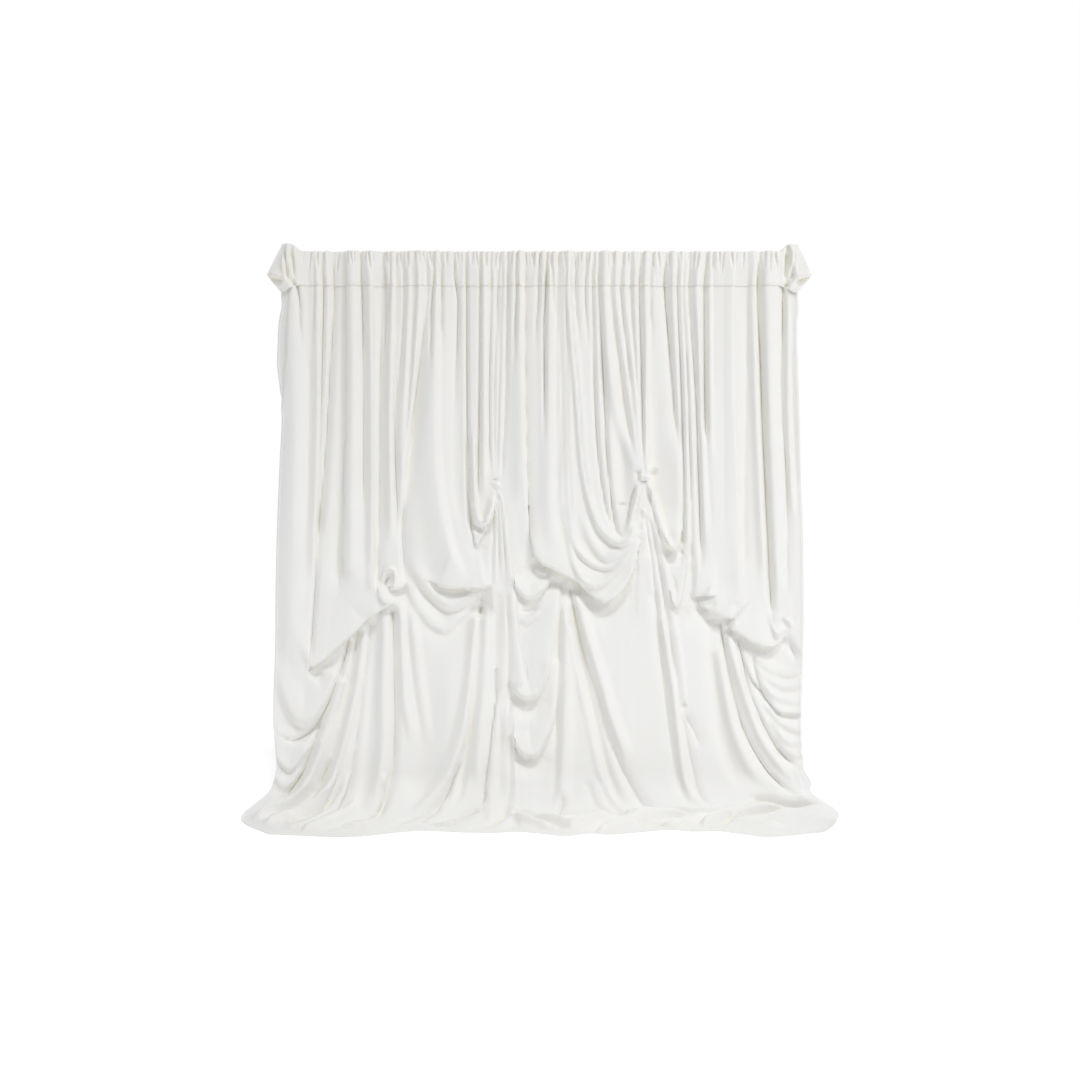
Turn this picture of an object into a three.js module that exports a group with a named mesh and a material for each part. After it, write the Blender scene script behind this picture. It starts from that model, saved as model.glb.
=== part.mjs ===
// Backdrop drape: one long cloth gathered on a rod pocket, caught up in swags and pooled on the floor.
// Millimetres, +Z up. The origin is the middle of the rod line and the front faces -Y.

import * as THREE from 'three';

// Driving dimensions
const CLOTH = 2; // thickness of the cloth
const FLOOR_DROP = 2470; // rod line down to the floor
const POCKET_DROP = 142; // rod line down to the pocket's stitch line
const CHANNEL_RADIUS = 13.5; // clear room for a 25 mm rod
const SEAM_GAP = 0.3; // between the pocket and the panel sewn below it
const LEAN = 85; // how far the fall leans forward before it turns onto the floor
const POOL_PUFF = 26; // height of the loose cloth in the middle of the pool

// Places on the cloth are in centimetres, across from the middle and down from the rod line,
// as they show from straight in front at this distance and this far below the rod.
const CM = 10;
const VIEW_DISTANCE = 4500;
const VIEW_DROP = 1278;

// Where the fall starts to lean, starts to turn forward, and lies on the floor
const LEAN_START = 70;
const TURN_START = 238;
const TURN_END = 252;
const TURN_LENGTH = 16;

// Lengthwise threads from the left edge to the right one. Each row gives how far across the
// thread lies at every drop in THREAD_DROPS, and its end at the hem as across and drop.
const THREAD_DROPS = [14, 40, 70, 100, 125, 150, 180, 210, 230, 240, 250];
const THREADS = [
  { across: [-115.3, -117.2, -115.6, -116.6, -117.6, -118.2, -118.5, -119, -118.7, -121.5, -133.4],
    hem: [-122, 259.4] },
  { across: [-96.9, -97.2, -97.8, -98.6, -99.4, -100.6, -102.6, -105, -110, -114, -121],
    hem: [-109, 260] },
  { across: [-87, -86.9, -86.9, -87.2, -88.3, -90, -92, -95, -99, -102, -108],
    hem: [-97, 260.4] },
  { across: [-73.9, -74.2, -74.2, -74.2, -73.9, -73.6, -76.5, -79, -84, -87, -91],
    hem: [-82, 261] },
  { across: [-61, -61.8, -65, -64.6, -63.4, -65, -65.5, -64.9, -66.3, -68.4, -72.5],
    hem: [-70, 259.2] },
  { across: [-50.5, -52.7, -56.5, -60, -61.4, -58, -55.6, -53.5, -53.5, -54.6, -58],
    hem: [-56, 258.2] },
  { across: [-44, -45, -45.4, -46, -43, -45, -44.5, -43.5, -44, -45.6, -49],
    hem: [-46, 258.8] },
  { across: [-32.4, -32.3, -32.2, -32, -31, -30, -31.3, -33, -35, -37, -40],
    hem: [-36, 258.6] },
  { across: [-22, -22.5, -22.9, -21.4, -20.5, -21.4, -21.8, -21, -23.3, -25, -29],
    hem: [-26, 258.9] },
  { across: [-14.3, -15.5, -16.8, -17, -14.3, -11, -9, -11, -10.3, -10, -10],
    hem: [-12, 258.1] },
  { across: [2.6, 2.3, 1.9, 0.6, -1.5, -1, 0, 1, 2, 2, 2],
    hem: [2, 259.6] },
  { across: [11.3, 11.6, 11.8, 12.3, 13, 11, 9.5, 9, 9.5, 10, 11],
    hem: [13, 261] },
  { across: [26.4, 27.2, 28.6, 30.8, 32, 29, 28, 31, 35, 38, 42],
    hem: [28, 260] },
  { across: [44.7, 45.2, 45.8, 46.3, 47.5, 50.4, 53.8, 57.3, 60, 61.5, 64],
    hem: [58, 257.6] },
  { across: [61.5, 62.5, 63.5, 64.5, 63.8, 66, 68.5, 72, 76, 78, 81],
    hem: [74, 258] },
  { across: [73.7, 73.7, 73.7, 75.5, 77.3, 79.5, 83.5, 90, 96.5, 100, 104],
    hem: [92, 260] },
  { across: [87, 87, 87.3, 88.6, 89.6, 90.4, 93, 101, 106.5, 110, 115],
    hem: [106, 260.6] },
  { across: [97.6, 98, 99, 100.2, 101.5, 102.7, 103.5, 109, 112.5, 116, 123],
    hem: [117, 259.5] },
  { across: [115, 115.2, 115.7, 116.6, 117.5, 117.8, 117.6, 117.6, 117.8, 121.5, 132.8],
    hem: [127.5, 258.5] },
];
const COLUMNS_PER_THREAD = 4;

// Crosswise rows of the sheet: how many steps each band of the drop takes. The last band ends at the hem.
const ROW_BANDS = [
  { to: 96, steps: 5 },
  { to: 132, steps: 7 },
  { to: 160, steps: 7 },
  { to: 212, steps: 9 },
  { to: 238, steps: 3 },
  { to: 252, steps: 3 },
];
const HEM_STEPS = 3;
const SOFTENING = 0.3; // share by which each point is drawn to its neighbours

// Folds: a ridge where the rise is positive, a trough where it is negative, in centimetres.
// The sides are its half-widths on the right and the left hand of someone who walks the path.
// The fade is the length over which it dies out at the end of the path.
const FOLDS = [
  { name: 'left strip', rise: 2.2, sides: [6, 6], fade: 20,
    path: [[-109.5, 8], [-109, 70], [-110.5, 120], [-110, 170], [-107, 205]] },
  { name: 'left strip edge', rise: -2.8, sides: [3, 3], fade: 8,
    path: [[-96.9, 8], [-97.8, 70], [-99.4, 125], [-102.8, 184]] },
  { name: 'left split', rise: -1.4, sides: [3, 3], fade: 20,
    path: [[-92.5, 8], [-94.7, 70], [-98.3, 120]] },
  { name: 'second valley', rise: -2, sides: [3.5, 2.6], fade: 15,
    path: [[-87.5, 8], [-87.3, 80], [-88.8, 125], [-90.5, 155]] },
  { name: 'second roll', rise: 1.6, sides: [4, 4], fade: 20,
    path: [[-83.5, 8], [-84.3, 90], [-83.5, 148]] },
  { name: 'third valley', rise: -1.3, sides: [2.6, 2.6], fade: 25,
    path: [[-79.7, 8], [-79, 80], [-79, 125]] },
  { name: 'third roll', rise: 1.4, sides: [3, 2.6], fade: 15,
    path: [[-76, 8], [-75.2, 100], [-75.5, 152]] },
  { name: 'fourth valley', rise: -2.4, sides: [3, 3], fade: 6,
    path: [[-71.3, 8], [-71.4, 80], [-72.2, 125], [-72.6, 152]] },
  { name: 'fourth roll', rise: 1.8, sides: [3, 2.6], fade: 15,
    path: [[-67.3, 8], [-67.5, 90], [-66.5, 142]] },
  { name: 'fifth valley', rise: -1.5, sides: [2.6, 2.6], fade: 15,
    path: [[-63.5, 8], [-64.8, 70], [-63.5, 125]] },
  { name: 'fifth roll', rise: 1.4, sides: [3, 2.6], fade: 15,
    path: [[-57, 8], [-60, 70], [-62.5, 118]] },
  { name: 'slanting valley', rise: -2.6, sides: [2.6, 3.5], fade: 12,
    path: [[-50.3, 8], [-53.3, 45], [-57, 73], [-60.5, 104], [-61.3, 128]] },
  { name: 'swag shoulder', rise: 1.8, sides: [3.5, 4], fade: 12,
    path: [[-45.6, 8], [-45.5, 70], [-46, 97], [-43.7, 120], [-38, 143]] },
  { name: 'swag valley', rise: -1.8, sides: [3.5, 3.5], fade: 30,
    path: [[-38.5, 8], [-37.5, 70], [-37.4, 120]] },
  { name: 'deep notch', rise: -3, sides: [2.6, 2.6], fade: 6,
    path: [[-32.4, 8], [-32.1, 95], [-31, 125], [-29.5, 133]] },
  { name: 'inner valley', rise: -2, sides: [2.6, 2.6], fade: 12,
    path: [[-27.6, 8], [-27.6, 85], [-27.2, 116]] },
  { name: 'left bunch side', rise: -1.6, sides: [2.6, 2.6], fade: 5,
    path: [[-22, 8], [-22.8, 75], [-21.8, 103]] },
  { name: 'left bunch', rise: 1.8, sides: [3, 2.2], fade: 4,
    path: [[-17, 8], [-18.2, 70], [-19, 104]] },
  { name: 'centre left roll', rise: 1.6, sides: [4, 2.6], fade: 15,
    path: [[-8.6, 8], [-7.4, 70], [-6.3, 125]] },
  { name: 'centre left valley', rise: -2.2, sides: [2.4, 4], fade: 6,
    path: [[-5.6, 8], [-5, 100], [-3.6, 134]] },
  { name: 'middle valley', rise: -2.6, sides: [2.6, 2.6], fade: 30,
    path: [[2.6, 8], [2, 70], [0.8, 112]] },
  { name: 'middle roll', rise: 1.6, sides: [3, 3], fade: 30,
    path: [[5.2, 8], [5.5, 70], [8, 125]] },
  { name: 'swag thread', rise: -2.6, sides: [2.6, 2.6], fade: 10,
    path: [[12.5, 8], [15.8, 58], [18.5, 90], [22, 115], [27, 131]] },
  { name: 'swag fall', rise: 1.8, sides: [3, 2.6], fade: 8,
    path: [[19, 8], [22, 55], [25, 93], [28, 113], [33, 128]] },
  { name: 'swag crease', rise: -2.2, sides: [2.6, 2.6], fade: 6,
    path: [[26.3, 8], [28.5, 66], [31, 102], [34, 124]] },
  { name: 'pulled roll', rise: 1.6, sides: [3, 3], fade: 6,
    path: [[29.5, 8], [33, 58], [37.5, 82], [43.5, 97]] },
  { name: 'pulled crease', rise: -1.5, sides: [2.6, 2.6], fade: 6,
    path: [[36.5, 8], [40.5, 58], [45, 94]] },
  { name: 'pulled edge', rise: 1.4, sides: [2.6, 2.6], fade: 4,
    path: [[41, 8], [44.5, 70], [46.2, 97]] },
  { name: 'right slack', rise: 1.2, sides: [4, 4], fade: 20,
    path: [[51, 8], [53, 50], [50.5, 92]] },
  { name: 'right valley', rise: -2.2, sides: [3, 3], fade: 15,
    path: [[56, 8], [59.3, 60], [63, 92]] },
  { name: 'black line', rise: -3, sides: [2.6, 2.6], fade: 8,
    path: [[61.4, 8], [63.5, 70], [64.5, 102], [63, 138]] },
  { name: 'right split', rise: -1.8, sides: [2.6, 2.6], fade: 8,
    path: [[66.5, 8], [69.8, 65], [71, 105], [72.3, 150]] },
  { name: 'right notch', rise: -2.4, sides: [2.4, 2.4], fade: 15,
    path: [[73.7, 8], [73.6, 60], [74.8, 95]] },
  { name: 'right panel edge', rise: 1.4, sides: [4, 2.6], fade: 10,
    path: [[85, 8], [86.5, 70], [88, 120], [90, 158]] },
  { name: 'right panel valley', rise: -2, sides: [4, 4], fade: 15,
    path: [[92.8, 8], [92, 80], [92, 155]] },
  { name: 'right strip edge', rise: -2.8, sides: [2.6, 2.6], fade: 5,
    path: [[97.8, 8], [99.2, 73], [100.8, 110], [104, 168]] },
  { name: 'right strip', rise: 1.8, sides: [4, 4], fade: 15,
    path: [[102.3, 8], [104.5, 100], [107.5, 160]] },
  { name: 'right strip valley', rise: -1.6, sides: [3, 2.6], fade: 15,
    path: [[109.4, 8], [108, 60], [110.3, 105], [110.6, 160]] },
  { name: 'left leg', rise: -3, sides: [2.6, 2.8], fade: 12,
    path: [[-66.3, 157], [-65.3, 190], [-65, 212], [-67.5, 237], [-73, 251], [-84, 256]] },
  { name: 'far left sweep', rise: -2.6, sides: [2.8, 2.8], fade: 12,
    path: [[-82, 168], [-86, 190], [-92, 212], [-99, 231], [-110, 246.5], [-124, 251]] },
  { name: 'far left crease', rise: -2.6, sides: [2.6, 2.6], fade: 8,
    path: [[-85, 171], [-91, 191], [-100, 210.5], [-106, 230], [-115, 241]] },
  { name: 'left sweep', rise: -1.8, sides: [2.6, 2.6], fade: 10,
    path: [[-78, 185], [-81, 215], [-86, 236], [-93, 249], [-112, 258]] },
  { name: 'left shin', rise: 2, sides: [4, 4], fade: 15,
    path: [[-72, 164], [-72.5, 200], [-75, 230], [-81, 250]] },
  { name: 'mid left sweep', rise: -2.4, sides: [2.6, 2.6], fade: 10,
    path: [[-25.8, 151], [-28, 183], [-31, 213], [-37, 238], [-47, 249], [-64, 257]] },
  { name: 'column valley', rise: -2, sides: [2.6, 2.6], fade: 10,
    path: [[-18, 150], [-19.5, 203], [-23.5, 231], [-29, 247], [-44, 255]] },
  { name: 'left column', rise: 2.2, sides: [3, 4], fade: 12,
    path: [[-18.5, 106], [-16, 135], [-15.3, 170], [-15.5, 220], [-13, 250]] },
  { name: 'centre lobe side', rise: -2.2, sides: [2.6, 2.6], fade: 10,
    path: [[9.6, 148], [7.6, 172], [3, 189], [-2, 198]] },
  { name: 'centre leg', rise: -1.6, sides: [2.6, 2.6], fade: 12,
    path: [[9.4, 160], [8, 205], [7, 242]] },
  { name: 'train crease', rise: -2.6, sides: [3, 3], fade: 10,
    path: [[13.5, 148], [19, 182], [26, 210], [35, 232], [47, 247], [60, 251]] },
  { name: 'train roll', rise: 1.6, sides: [4, 4], fade: 20,
    path: [[20, 160], [26, 190], [33, 215], [41, 232]] },
  { name: 'right leg valley', rise: -2, sides: [2.6, 2.6], fade: 25,
    path: [[45, 122], [43, 145], [41.8, 170], [40.6, 205]] },
  { name: 'right leg', rise: 2.2, sides: [4, 4], fade: 25,
    path: [[47, 105], [48, 130], [51, 165], [54, 205], [58, 240]] },
  { name: 'right leg crease', rise: -1.8, sides: [2.6, 2.6], fade: 10,
    path: [[51.5, 126], [57, 165], [62.5, 198], [68, 230], [76, 247]] },
  { name: 'right shin valley', rise: -1.6, sides: [3.5, 3.5], fade: 15,
    path: [[76, 163], [78, 195], [81, 220], [92, 243]] },
  { name: 'right sweep', rise: -2.6, sides: [2.6, 2.6], fade: 10,
    path: [[80.3, 163], [84.5, 187], [90, 210], [100, 233], [114, 243.5]] },
  { name: 'right sweep roll', rise: 2, sides: [4, 4], fade: 10,
    path: [[84.5, 169], [90, 190], [98, 214], [107, 232], [118, 240]] },
  { name: 'far right sweep', rise: -2.6, sides: [2.6, 2.6], fade: 8,
    path: [[88.5, 170], [94, 187], [101, 199], [107.5, 206.5]] },
];

// Lips: the rolled lower edges of cloth that hangs over what is behind it, walked so that the
// front layer is on the left hand. The layer eases back into the cloth over the ease length.
// All in centimetres.
const LIPS = [
  { name: 'left strip lobe', rise: 4, ease: 30,
    path: [[-115, 190], [-112, 200], [-105, 208], [-98, 203], [-93, 194]] },
  { name: 'left strip underlobe', rise: 2.5, ease: 8,
    path: [[-119, 215], [-113, 218.3], [-108, 219], [-103, 214]] },
  { name: 'second panel tuck', rise: 4.5, ease: 35,
    path: [[-104, 185.3], [-97, 182.5], [-89, 173.5], [-80, 167], [-66, 156.4]] },
  { name: 'curl', rise: 3, ease: 12,
    path: [[-72.3, 151], [-69.5, 155.5], [-66, 150], [-60, 147.5]] },
  { name: 'mid left tuck', rise: 4.5, ease: 35,
    path: [[-48, 145.5], [-42, 149], [-34, 149.4], [-21.5, 147.3]] },
  { name: 'mid left swag', rise: 2.5, ease: 10,
    path: [[-60, 129], [-53, 144], [-46, 154], [-39, 157.4], [-32, 154], [-26, 149.5]] },
  { name: 'mid left slack', rise: 1.6, ease: 10,
    path: [[-57, 156], [-50, 165.5], [-43, 169], [-36, 165.5], [-30, 159]] },
  { name: 'left gather swag', rise: 3.5, ease: 14,
    path: [[-30.6, 108], [-29.8, 116], [-26.5, 121], [-23, 119], [-20.6, 108]] },
  { name: 'centre tuck', rise: 4.5, ease: 35,
    path: [[-4, 129], [-1.5, 138], [5, 140.7], [12, 143.6], [20, 148]] },
  { name: 'centre inner swag', rise: 2.5, ease: 10,
    path: [[20, 130], [24, 137], [30, 140.2], [37, 136], [42, 127]] },
  { name: 'centre middle swag', rise: 3, ease: 10,
    path: [[15, 134], [19, 145], [24, 148], [32, 144.5], [40, 135], [44.5, 124]] },
  { name: 'centre outer swag', rise: 3.5, ease: 12,
    path: [[18, 146.5], [23, 153], [29.5, 155.2], [37, 151], [42, 142], [44.8, 128]] },
  { name: 'right gather swag', rise: 3, ease: 12,
    path: [[31, 116], [34, 127.5], [36.5, 129.4], [41, 124], [45.5, 115]] },
  { name: 'right swag', rise: 3.5, ease: 20,
    path: [[52, 114], [56, 127], [59.6, 132.3], [62.8, 129], [63.8, 118]] },
  { name: 'right under swag', rise: 2.5, ease: 12,
    path: [[57, 145], [59, 155], [61.5, 157.8], [65, 152], [66.7, 138]] },
  { name: 'right panel upper tuck', rise: 3.5, ease: 30,
    path: [[67.5, 151.8], [73, 152.7], [80.5, 153]] },
  { name: 'right panel middle tuck', rise: 3.5, ease: 25,
    path: [[69.5, 155.8], [78, 161], [84, 163], [89.5, 164]] },
  { name: 'right panel lower tuck', rise: 3.5, ease: 25,
    path: [[83, 165.6], [91, 171], [98, 176], [102, 178.5], [107, 175], [111, 169.5]] },
  { name: 'right strip swag', rise: 3, ease: 20,
    path: [[103, 159], [104.3, 167], [106.5, 170], [111, 167.8]] },
  { name: 'right first swag', rise: 2.6, ease: 8,
    path: [[97.5, 177], [103, 185.5], [109.5, 188.2], [114, 186], [117.5, 178]] },
  { name: 'right second swag', rise: 2.4, ease: 8,
    path: [[99, 186], [105, 196.5], [111, 200], [115, 197], [117.5, 190]] },
  { name: 'right third swag', rise: 3, ease: 8,
    path: [[102, 197.5], [109, 204.5], [114, 205.5], [118, 204]] },
  { name: 'right fourth swag', rise: 2.2, ease: 8,
    path: [[104, 205.5], [110, 214], [113.5, 215.8], [118, 212]] },
  { name: 'centre small lobe', rise: 2.4, ease: 8,
    path: [[-11.3, 146], [-7.5, 152.5], [-4, 153.4], [0, 150], [4.5, 144]] },
  { name: 'centre long lobe', rise: 3.5, ease: 18,
    path: [[-12, 189], [-6.3, 198], [-1, 194], [4, 182], [7.6, 166]] },
  { name: 'centre low lobe', rise: 3, ease: 12,
    path: [[-11.6, 213], [-5, 224], [0.5, 219], [5, 204], [7, 188]] },
];
const LIP_FADE = 5; // length over which a lip dies out at both ends of its path
const LIP_ROLL = 5.5; // how far the roll of a lip reaches across its edge
const LIP_UNDER = 1.5; // the part of the roll that lies under the edge

// Rod pocket: ends that flare into ears over the rod's ends, in centimetres across and drop
const EAR_ROOT = 108;
const EAR_PEAK_LIFT = 32;
const EAR_RUN = 40;
const LEFT_EAR = { drops: [-4.5, 10.3, 14.2], across: [113, 121.3, 118] };
const RIGHT_EAR = { drops: [-4.5, 10, 14.2], across: [112.8, 121, 117.8] };
const SEAM_HALF = 2; // half the thickness of the two plies sewn together
const GATHER_OUT = 8; // how far an average gather stands off the rod
const GATHER_LEAST = 1.5; // and the flattest one

// Eased step from 0 to 1
function ease(t) {
  const held = THREE.MathUtils.clamp(t, 0, 1);
  return held * held * (3 - 2 * held);
}

// Smooth curve through values at rising levels: a cubic between neighbours, flat beyond the ends
function through(levels, values, at) {
  const last = levels.length - 1;
  if (at <= levels[0]) return values[0];
  if (at >= levels[last]) return values[last];
  const i = levels.findIndex((level) => level > at) - 1;
  const slope = (k) => {
    const before = Math.max(k - 1, 0);
    const after = Math.min(k + 1, last);
    return (values[after] - values[before]) / (levels[after] - levels[before]);
  };
  const span = levels[i + 1] - levels[i];
  const t = (at - levels[i]) / span;
  const rest = 1 - t;
  const ends = values[i] * (1 + 2 * t) * rest * rest + values[i + 1] * t * t * (3 - 2 * t);
  const turns = slope(i) * t * rest * rest - slope(i + 1) * t * t * rest;
  return ends + turns * span;
}

// Straight pieces between values at rising levels
function between(levels, values, at) {
  const last = levels.length - 1;
  const i = THREE.MathUtils.clamp(levels.findIndex((level) => level > at) - 1, 0, last - 1);
  const t = THREE.MathUtils.clamp((at - levels[i]) / (levels[i + 1] - levels[i]), 0, 1);
  return THREE.MathUtils.lerp(values[i], values[i + 1], t);
}

// Side view of the plain hung cloth at a drop as seen: depth is negative towards the front
function fallDepth(drop) {
  const share = Math.max(0, (drop - LEAN_START) / (TURN_START - LEAN_START));
  return -LEAN * share ** 1.5;
}

function fallHeight(drop) {
  const below = drop * CM - VIEW_DROP;
  return -VIEW_DROP - below * (1 + fallDepth(drop) / VIEW_DISTANCE);
}

function floorDepth(drop) {
  return -VIEW_DISTANCE * (1 - (FLOOR_DROP - VIEW_DROP) / (drop * CM - VIEW_DROP));
}

const FOOT_TURN = new THREE.CubicBezierCurve(
  new THREE.Vector2(fallDepth(TURN_START), fallHeight(TURN_START)),
  new THREE.Vector2(fallDepth(TURN_START) - 7, fallHeight(TURN_START) - 70),
  new THREE.Vector2(floorDepth(TURN_END) + 66, -FLOOR_DROP),
  new THREE.Vector2(floorDepth(TURN_END), -FLOOR_DROP),
);

// Depth and height of the plain cloth, as a Vector2
function sideView(drop) {
  if (drop <= TURN_START) return new THREE.Vector2(fallDepth(drop), fallHeight(drop));
  if (drop >= TURN_END) return new THREE.Vector2(floorDepth(drop), -FLOOR_DROP);
  return FOOT_TURN.getPoint((drop - TURN_START) / (TURN_END - TURN_START));
}

// Real place on the cloth, in centimetres across and along it from the rod
function onCloth(across, drop) {
  const depth = sideView(drop).x;
  const turned = THREE.MathUtils.clamp((drop - TURN_START) / (TURN_END - TURN_START), 0, 1);
  const onFloor = Math.max(0, floorDepth(TURN_END) - depth) / CM;
  const along = Math.min(drop, TURN_START) + turned * TURN_LENGTH + (drop > TURN_END ? onFloor : 0);
  return new THREE.Vector2(across * (1 + depth / VIEW_DISTANCE), along);
}

// A path drawn on the cloth as a smooth line of short straight pieces
function drawn(path) {
  const points = path.map(([across, drop]) => onCloth(across, drop));
  return new THREE.SplineCurve(points).getPoints(8 * (points.length - 1));
}

// Nearest point of a line: the offset is positive on the walker's left hand, as seen from the
// front, and start and end are the lengths walked from there to the two ends
function nearest(line, place) {
  let walked = 0;
  let best = { distance: Infinity, offset: 0, start: 0 };
  for (let i = 0; i + 1 < line.length; i += 1) {
    const step = line[i + 1].clone().sub(line[i]);
    const length = step.length();
    const reach = place.clone().sub(line[i]);
    const t = THREE.MathUtils.clamp(reach.dot(step) / (length * length), 0, 1);
    const gap = reach.clone().addScaledVector(step, -t);
    const distance = gap.length();
    if (distance < best.distance) {
      const side = Math.sign(step.y * reach.x - step.x * reach.y) || 1;
      best = { distance, offset: side * distance, start: walked + t * length };
    }
    walked += length;
  }
  return { ...best, end: walked - best.start };
}

// Rise of one fold: a rounded bump across the path that dies out at the path's end
function foldRise(fold, place) {
  const near = nearest(fold.line, place);
  const half = near.offset < 0 ? fold.sides[0] : fold.sides[1];
  const across = 1 - ease(near.distance / half);
  return fold.rise * across * ease(near.end / fold.fade);
}

// Rise of one lip: nothing under the edge, a rounded roll, then an easing back into the cloth
function lipRise(lip, place) {
  const near = nearest(lip.line, place);
  const roll = ease((near.offset + LIP_UNDER) / LIP_ROLL);
  const back = 1 - ease((near.offset - LIP_ROLL) / lip.ease);
  return lip.rise * roll * back * ease(near.start / LIP_FADE) * ease(near.end / LIP_FADE);
}

const drawnFolds = FOLDS.map((fold) => ({ ...fold, line: drawn(fold.path) }));
const drawnLips = LIPS.map((lip) => ({ ...lip, line: drawn(lip.path) }));

// All folds and lips together, in millimetres
function relief(across, drop) {
  const place = onCloth(across, drop);
  const folds = drawnFolds.reduce((sum, fold) => sum + foldRise(fold, place), 0);
  const lips = drawnLips.reduce((sum, lip) => sum + lipRise(lip, place), 0);
  return (folds + lips) * CM;
}

// A point of the draped cloth. The relief stands out straight forward at the pocket, along the
// line of sight down the fall, and upward on the floor. The pool never goes below the floor.
function drapePoint(across, drop, hemDrop) {
  const side = sideView(drop);
  const plain = new THREE.Vector3(across * CM * (1 + side.x / VIEW_DISTANCE), side.x, side.y);
  const forward = new THREE.Vector3(0, -1, 0);
  const sight = new THREE.Vector3(0, -VIEW_DISTANCE, -VIEW_DROP).sub(plain).normalize();
  const out = forward.lerp(sight, ease((drop - 14) / 40));
  out.lerp(new THREE.Vector3(0, 0, 1), ease((drop - TURN_START) / (TURN_END - TURN_START)));
  const point = plain.addScaledVector(out.normalize(), relief(across, drop));
  const pooled = THREE.MathUtils.clamp((drop - TURN_START) / (hemDrop - TURN_START), 0, 1);
  point.z += POOL_PUFF * Math.sin(Math.PI * pooled ** 2);
  point.z = Math.max(point.z, -FLOOR_DROP + CLOTH / 2 + SEAM_GAP);
  return point;
}

// Drops of the sheet's rows down to the hem of one thread
function rowDrops(hemDrop) {
  const drops = [(POCKET_DROP + SEAM_GAP) / CM];
  for (const band of [...ROW_BANDS, { to: hemDrop, steps: HEM_STEPS }]) {
    const from = drops[drops.length - 1];
    for (let step = 1; step <= band.steps; step += 1) {
      drops.push(THREE.MathUtils.lerp(from, band.to, step / band.steps));
    }
  }
  return drops;
}

// One column of the sheet, a share of the way from one thread to the next
function sheetColumn(left, right, share) {
  const hemAcross = THREE.MathUtils.lerp(left.hem[0], right.hem[0], share);
  const hemDrop = THREE.MathUtils.lerp(left.hem[1], right.hem[1], share);
  const across = left.across.map((value, i) => THREE.MathUtils.lerp(value, right.across[i], share));
  const levels = [...THREAD_DROPS, hemDrop];
  const values = [...across, hemAcross];
  return rowDrops(hemDrop).map((drop) => drapePoint(through(levels, values, drop), drop, hemDrop));
}

function sheetColumns() {
  const columns = [];
  for (let i = 0; i + 1 < THREADS.length; i += 1) {
    for (let k = 0; k < COLUMNS_PER_THREAD; k += 1) {
      columns.push(sheetColumn(THREADS[i], THREADS[i + 1], k / COLUMNS_PER_THREAD));
    }
  }
  const last = THREADS.length - 1;
  columns.push(sheetColumn(THREADS[last], THREADS[last], 0));
  return softened(columns);
}

// Draws every inner point a little towards the middle of its four neighbours
function softened(columns) {
  const inner = (i, count) => i > 0 && i < count - 1;
  return columns.map((column, i) => column.map((point, j) => {
    if (!inner(i, columns.length) || !inner(j, column.length)) return point;
    const middle = new THREE.Vector3();
    [column[j - 1], column[j + 1], columns[i - 1][j], columns[i + 1][j]].forEach((near) => middle.add(near));
    return point.clone().lerp(middle.divideScalar(4), SOFTENING);
  }));
}

// Outward direction of a grid of points at one place, from its neighbours on both sides
function gridNormal(columns, i, j) {
  const column = columns[i];
  const right = columns[Math.min(i + 1, columns.length - 1)][j];
  const left = columns[Math.max(i - 1, 0)][j];
  const down = column[Math.min(j + 1, column.length - 1)];
  const up = column[Math.max(j - 1, 0)];
  const across = right.clone().sub(left);
  const normal = across.cross(up.clone().sub(down));
  if (j === 0) normal.z = 0;
  return normal.normalize();
}

// Collects triangles over a list of points and gives them back as a geometry
class Faces {
  constructor(points) {
    this.points = points;
    this.index = [];
  }

  // Four corners in turn, split along the shorter diagonal
  quad(a, b, c, d) {
    const p = this.points;
    const split = p[a].distanceToSquared(p[c]) <= p[b].distanceToSquared(p[d]);
    const corners = split ? [a, b, c, a, c, d] : [a, b, d, b, c, d];
    this.index.push(...corners);
  }

  geometry() {
    const geometry = new THREE.BufferGeometry().setFromPoints(this.points);
    geometry.setIndex(this.index);
    geometry.computeVertexNormals();
    return geometry;
  }
}

// A closed sheet: a front and a back skin half the cloth's thickness off the grid, joined by four rims
function sheetGeometry(columns) {
  const width = columns.length;
  const length = columns[0].length;
  const skins = [1, -1].flatMap((side) => columns.flatMap((column, i) => column.map((point, j) => (
    point.clone().addScaledVector(gridNormal(columns, i, j), side * CLOTH / 2)
  ))));
  const faces = new Faces(skins);
  const front = (i, j) => i * length + j;
  const back = (i, j) => width * length + i * length + j;
  for (let i = 0; i + 1 < width; i += 1) {
    for (let j = 0; j + 1 < length; j += 1) {
      faces.quad(front(i, j), front(i, j + 1), front(i + 1, j + 1), front(i + 1, j));
      faces.quad(back(i, j), back(i + 1, j), back(i + 1, j + 1), back(i, j + 1));
    }
    faces.quad(front(i + 1, 0), back(i + 1, 0), back(i, 0), front(i, 0));
    faces.quad(front(i, length - 1), back(i, length - 1), back(i + 1, length - 1), front(i + 1, length - 1));
  }
  for (let j = 0; j + 1 < length; j += 1) {
    faces.quad(front(0, j), back(0, j), back(0, j + 1), front(0, j + 1));
    faces.quad(front(width - 1, j + 1), back(width - 1, j + 1), back(width - 1, j), front(width - 1, j));
  }
  return faces.geometry();
}

// How far across a pocket point lies: straight up from the seam, and flared out in the ears
function pocketAcross(seamAcross, drop) {
  const ear = seamAcross < 0 ? LEFT_EAR : RIGHT_EAR;
  const side = Math.sign(seamAcross);
  const share = (Math.abs(seamAcross) - EAR_ROOT) / (ear.across[2] - EAR_ROOT);
  if (share <= 0) return seamAcross;
  return side * THREE.MathUtils.lerp(EAR_ROOT, between(ear.drops, ear.across, drop), share);
}

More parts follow.
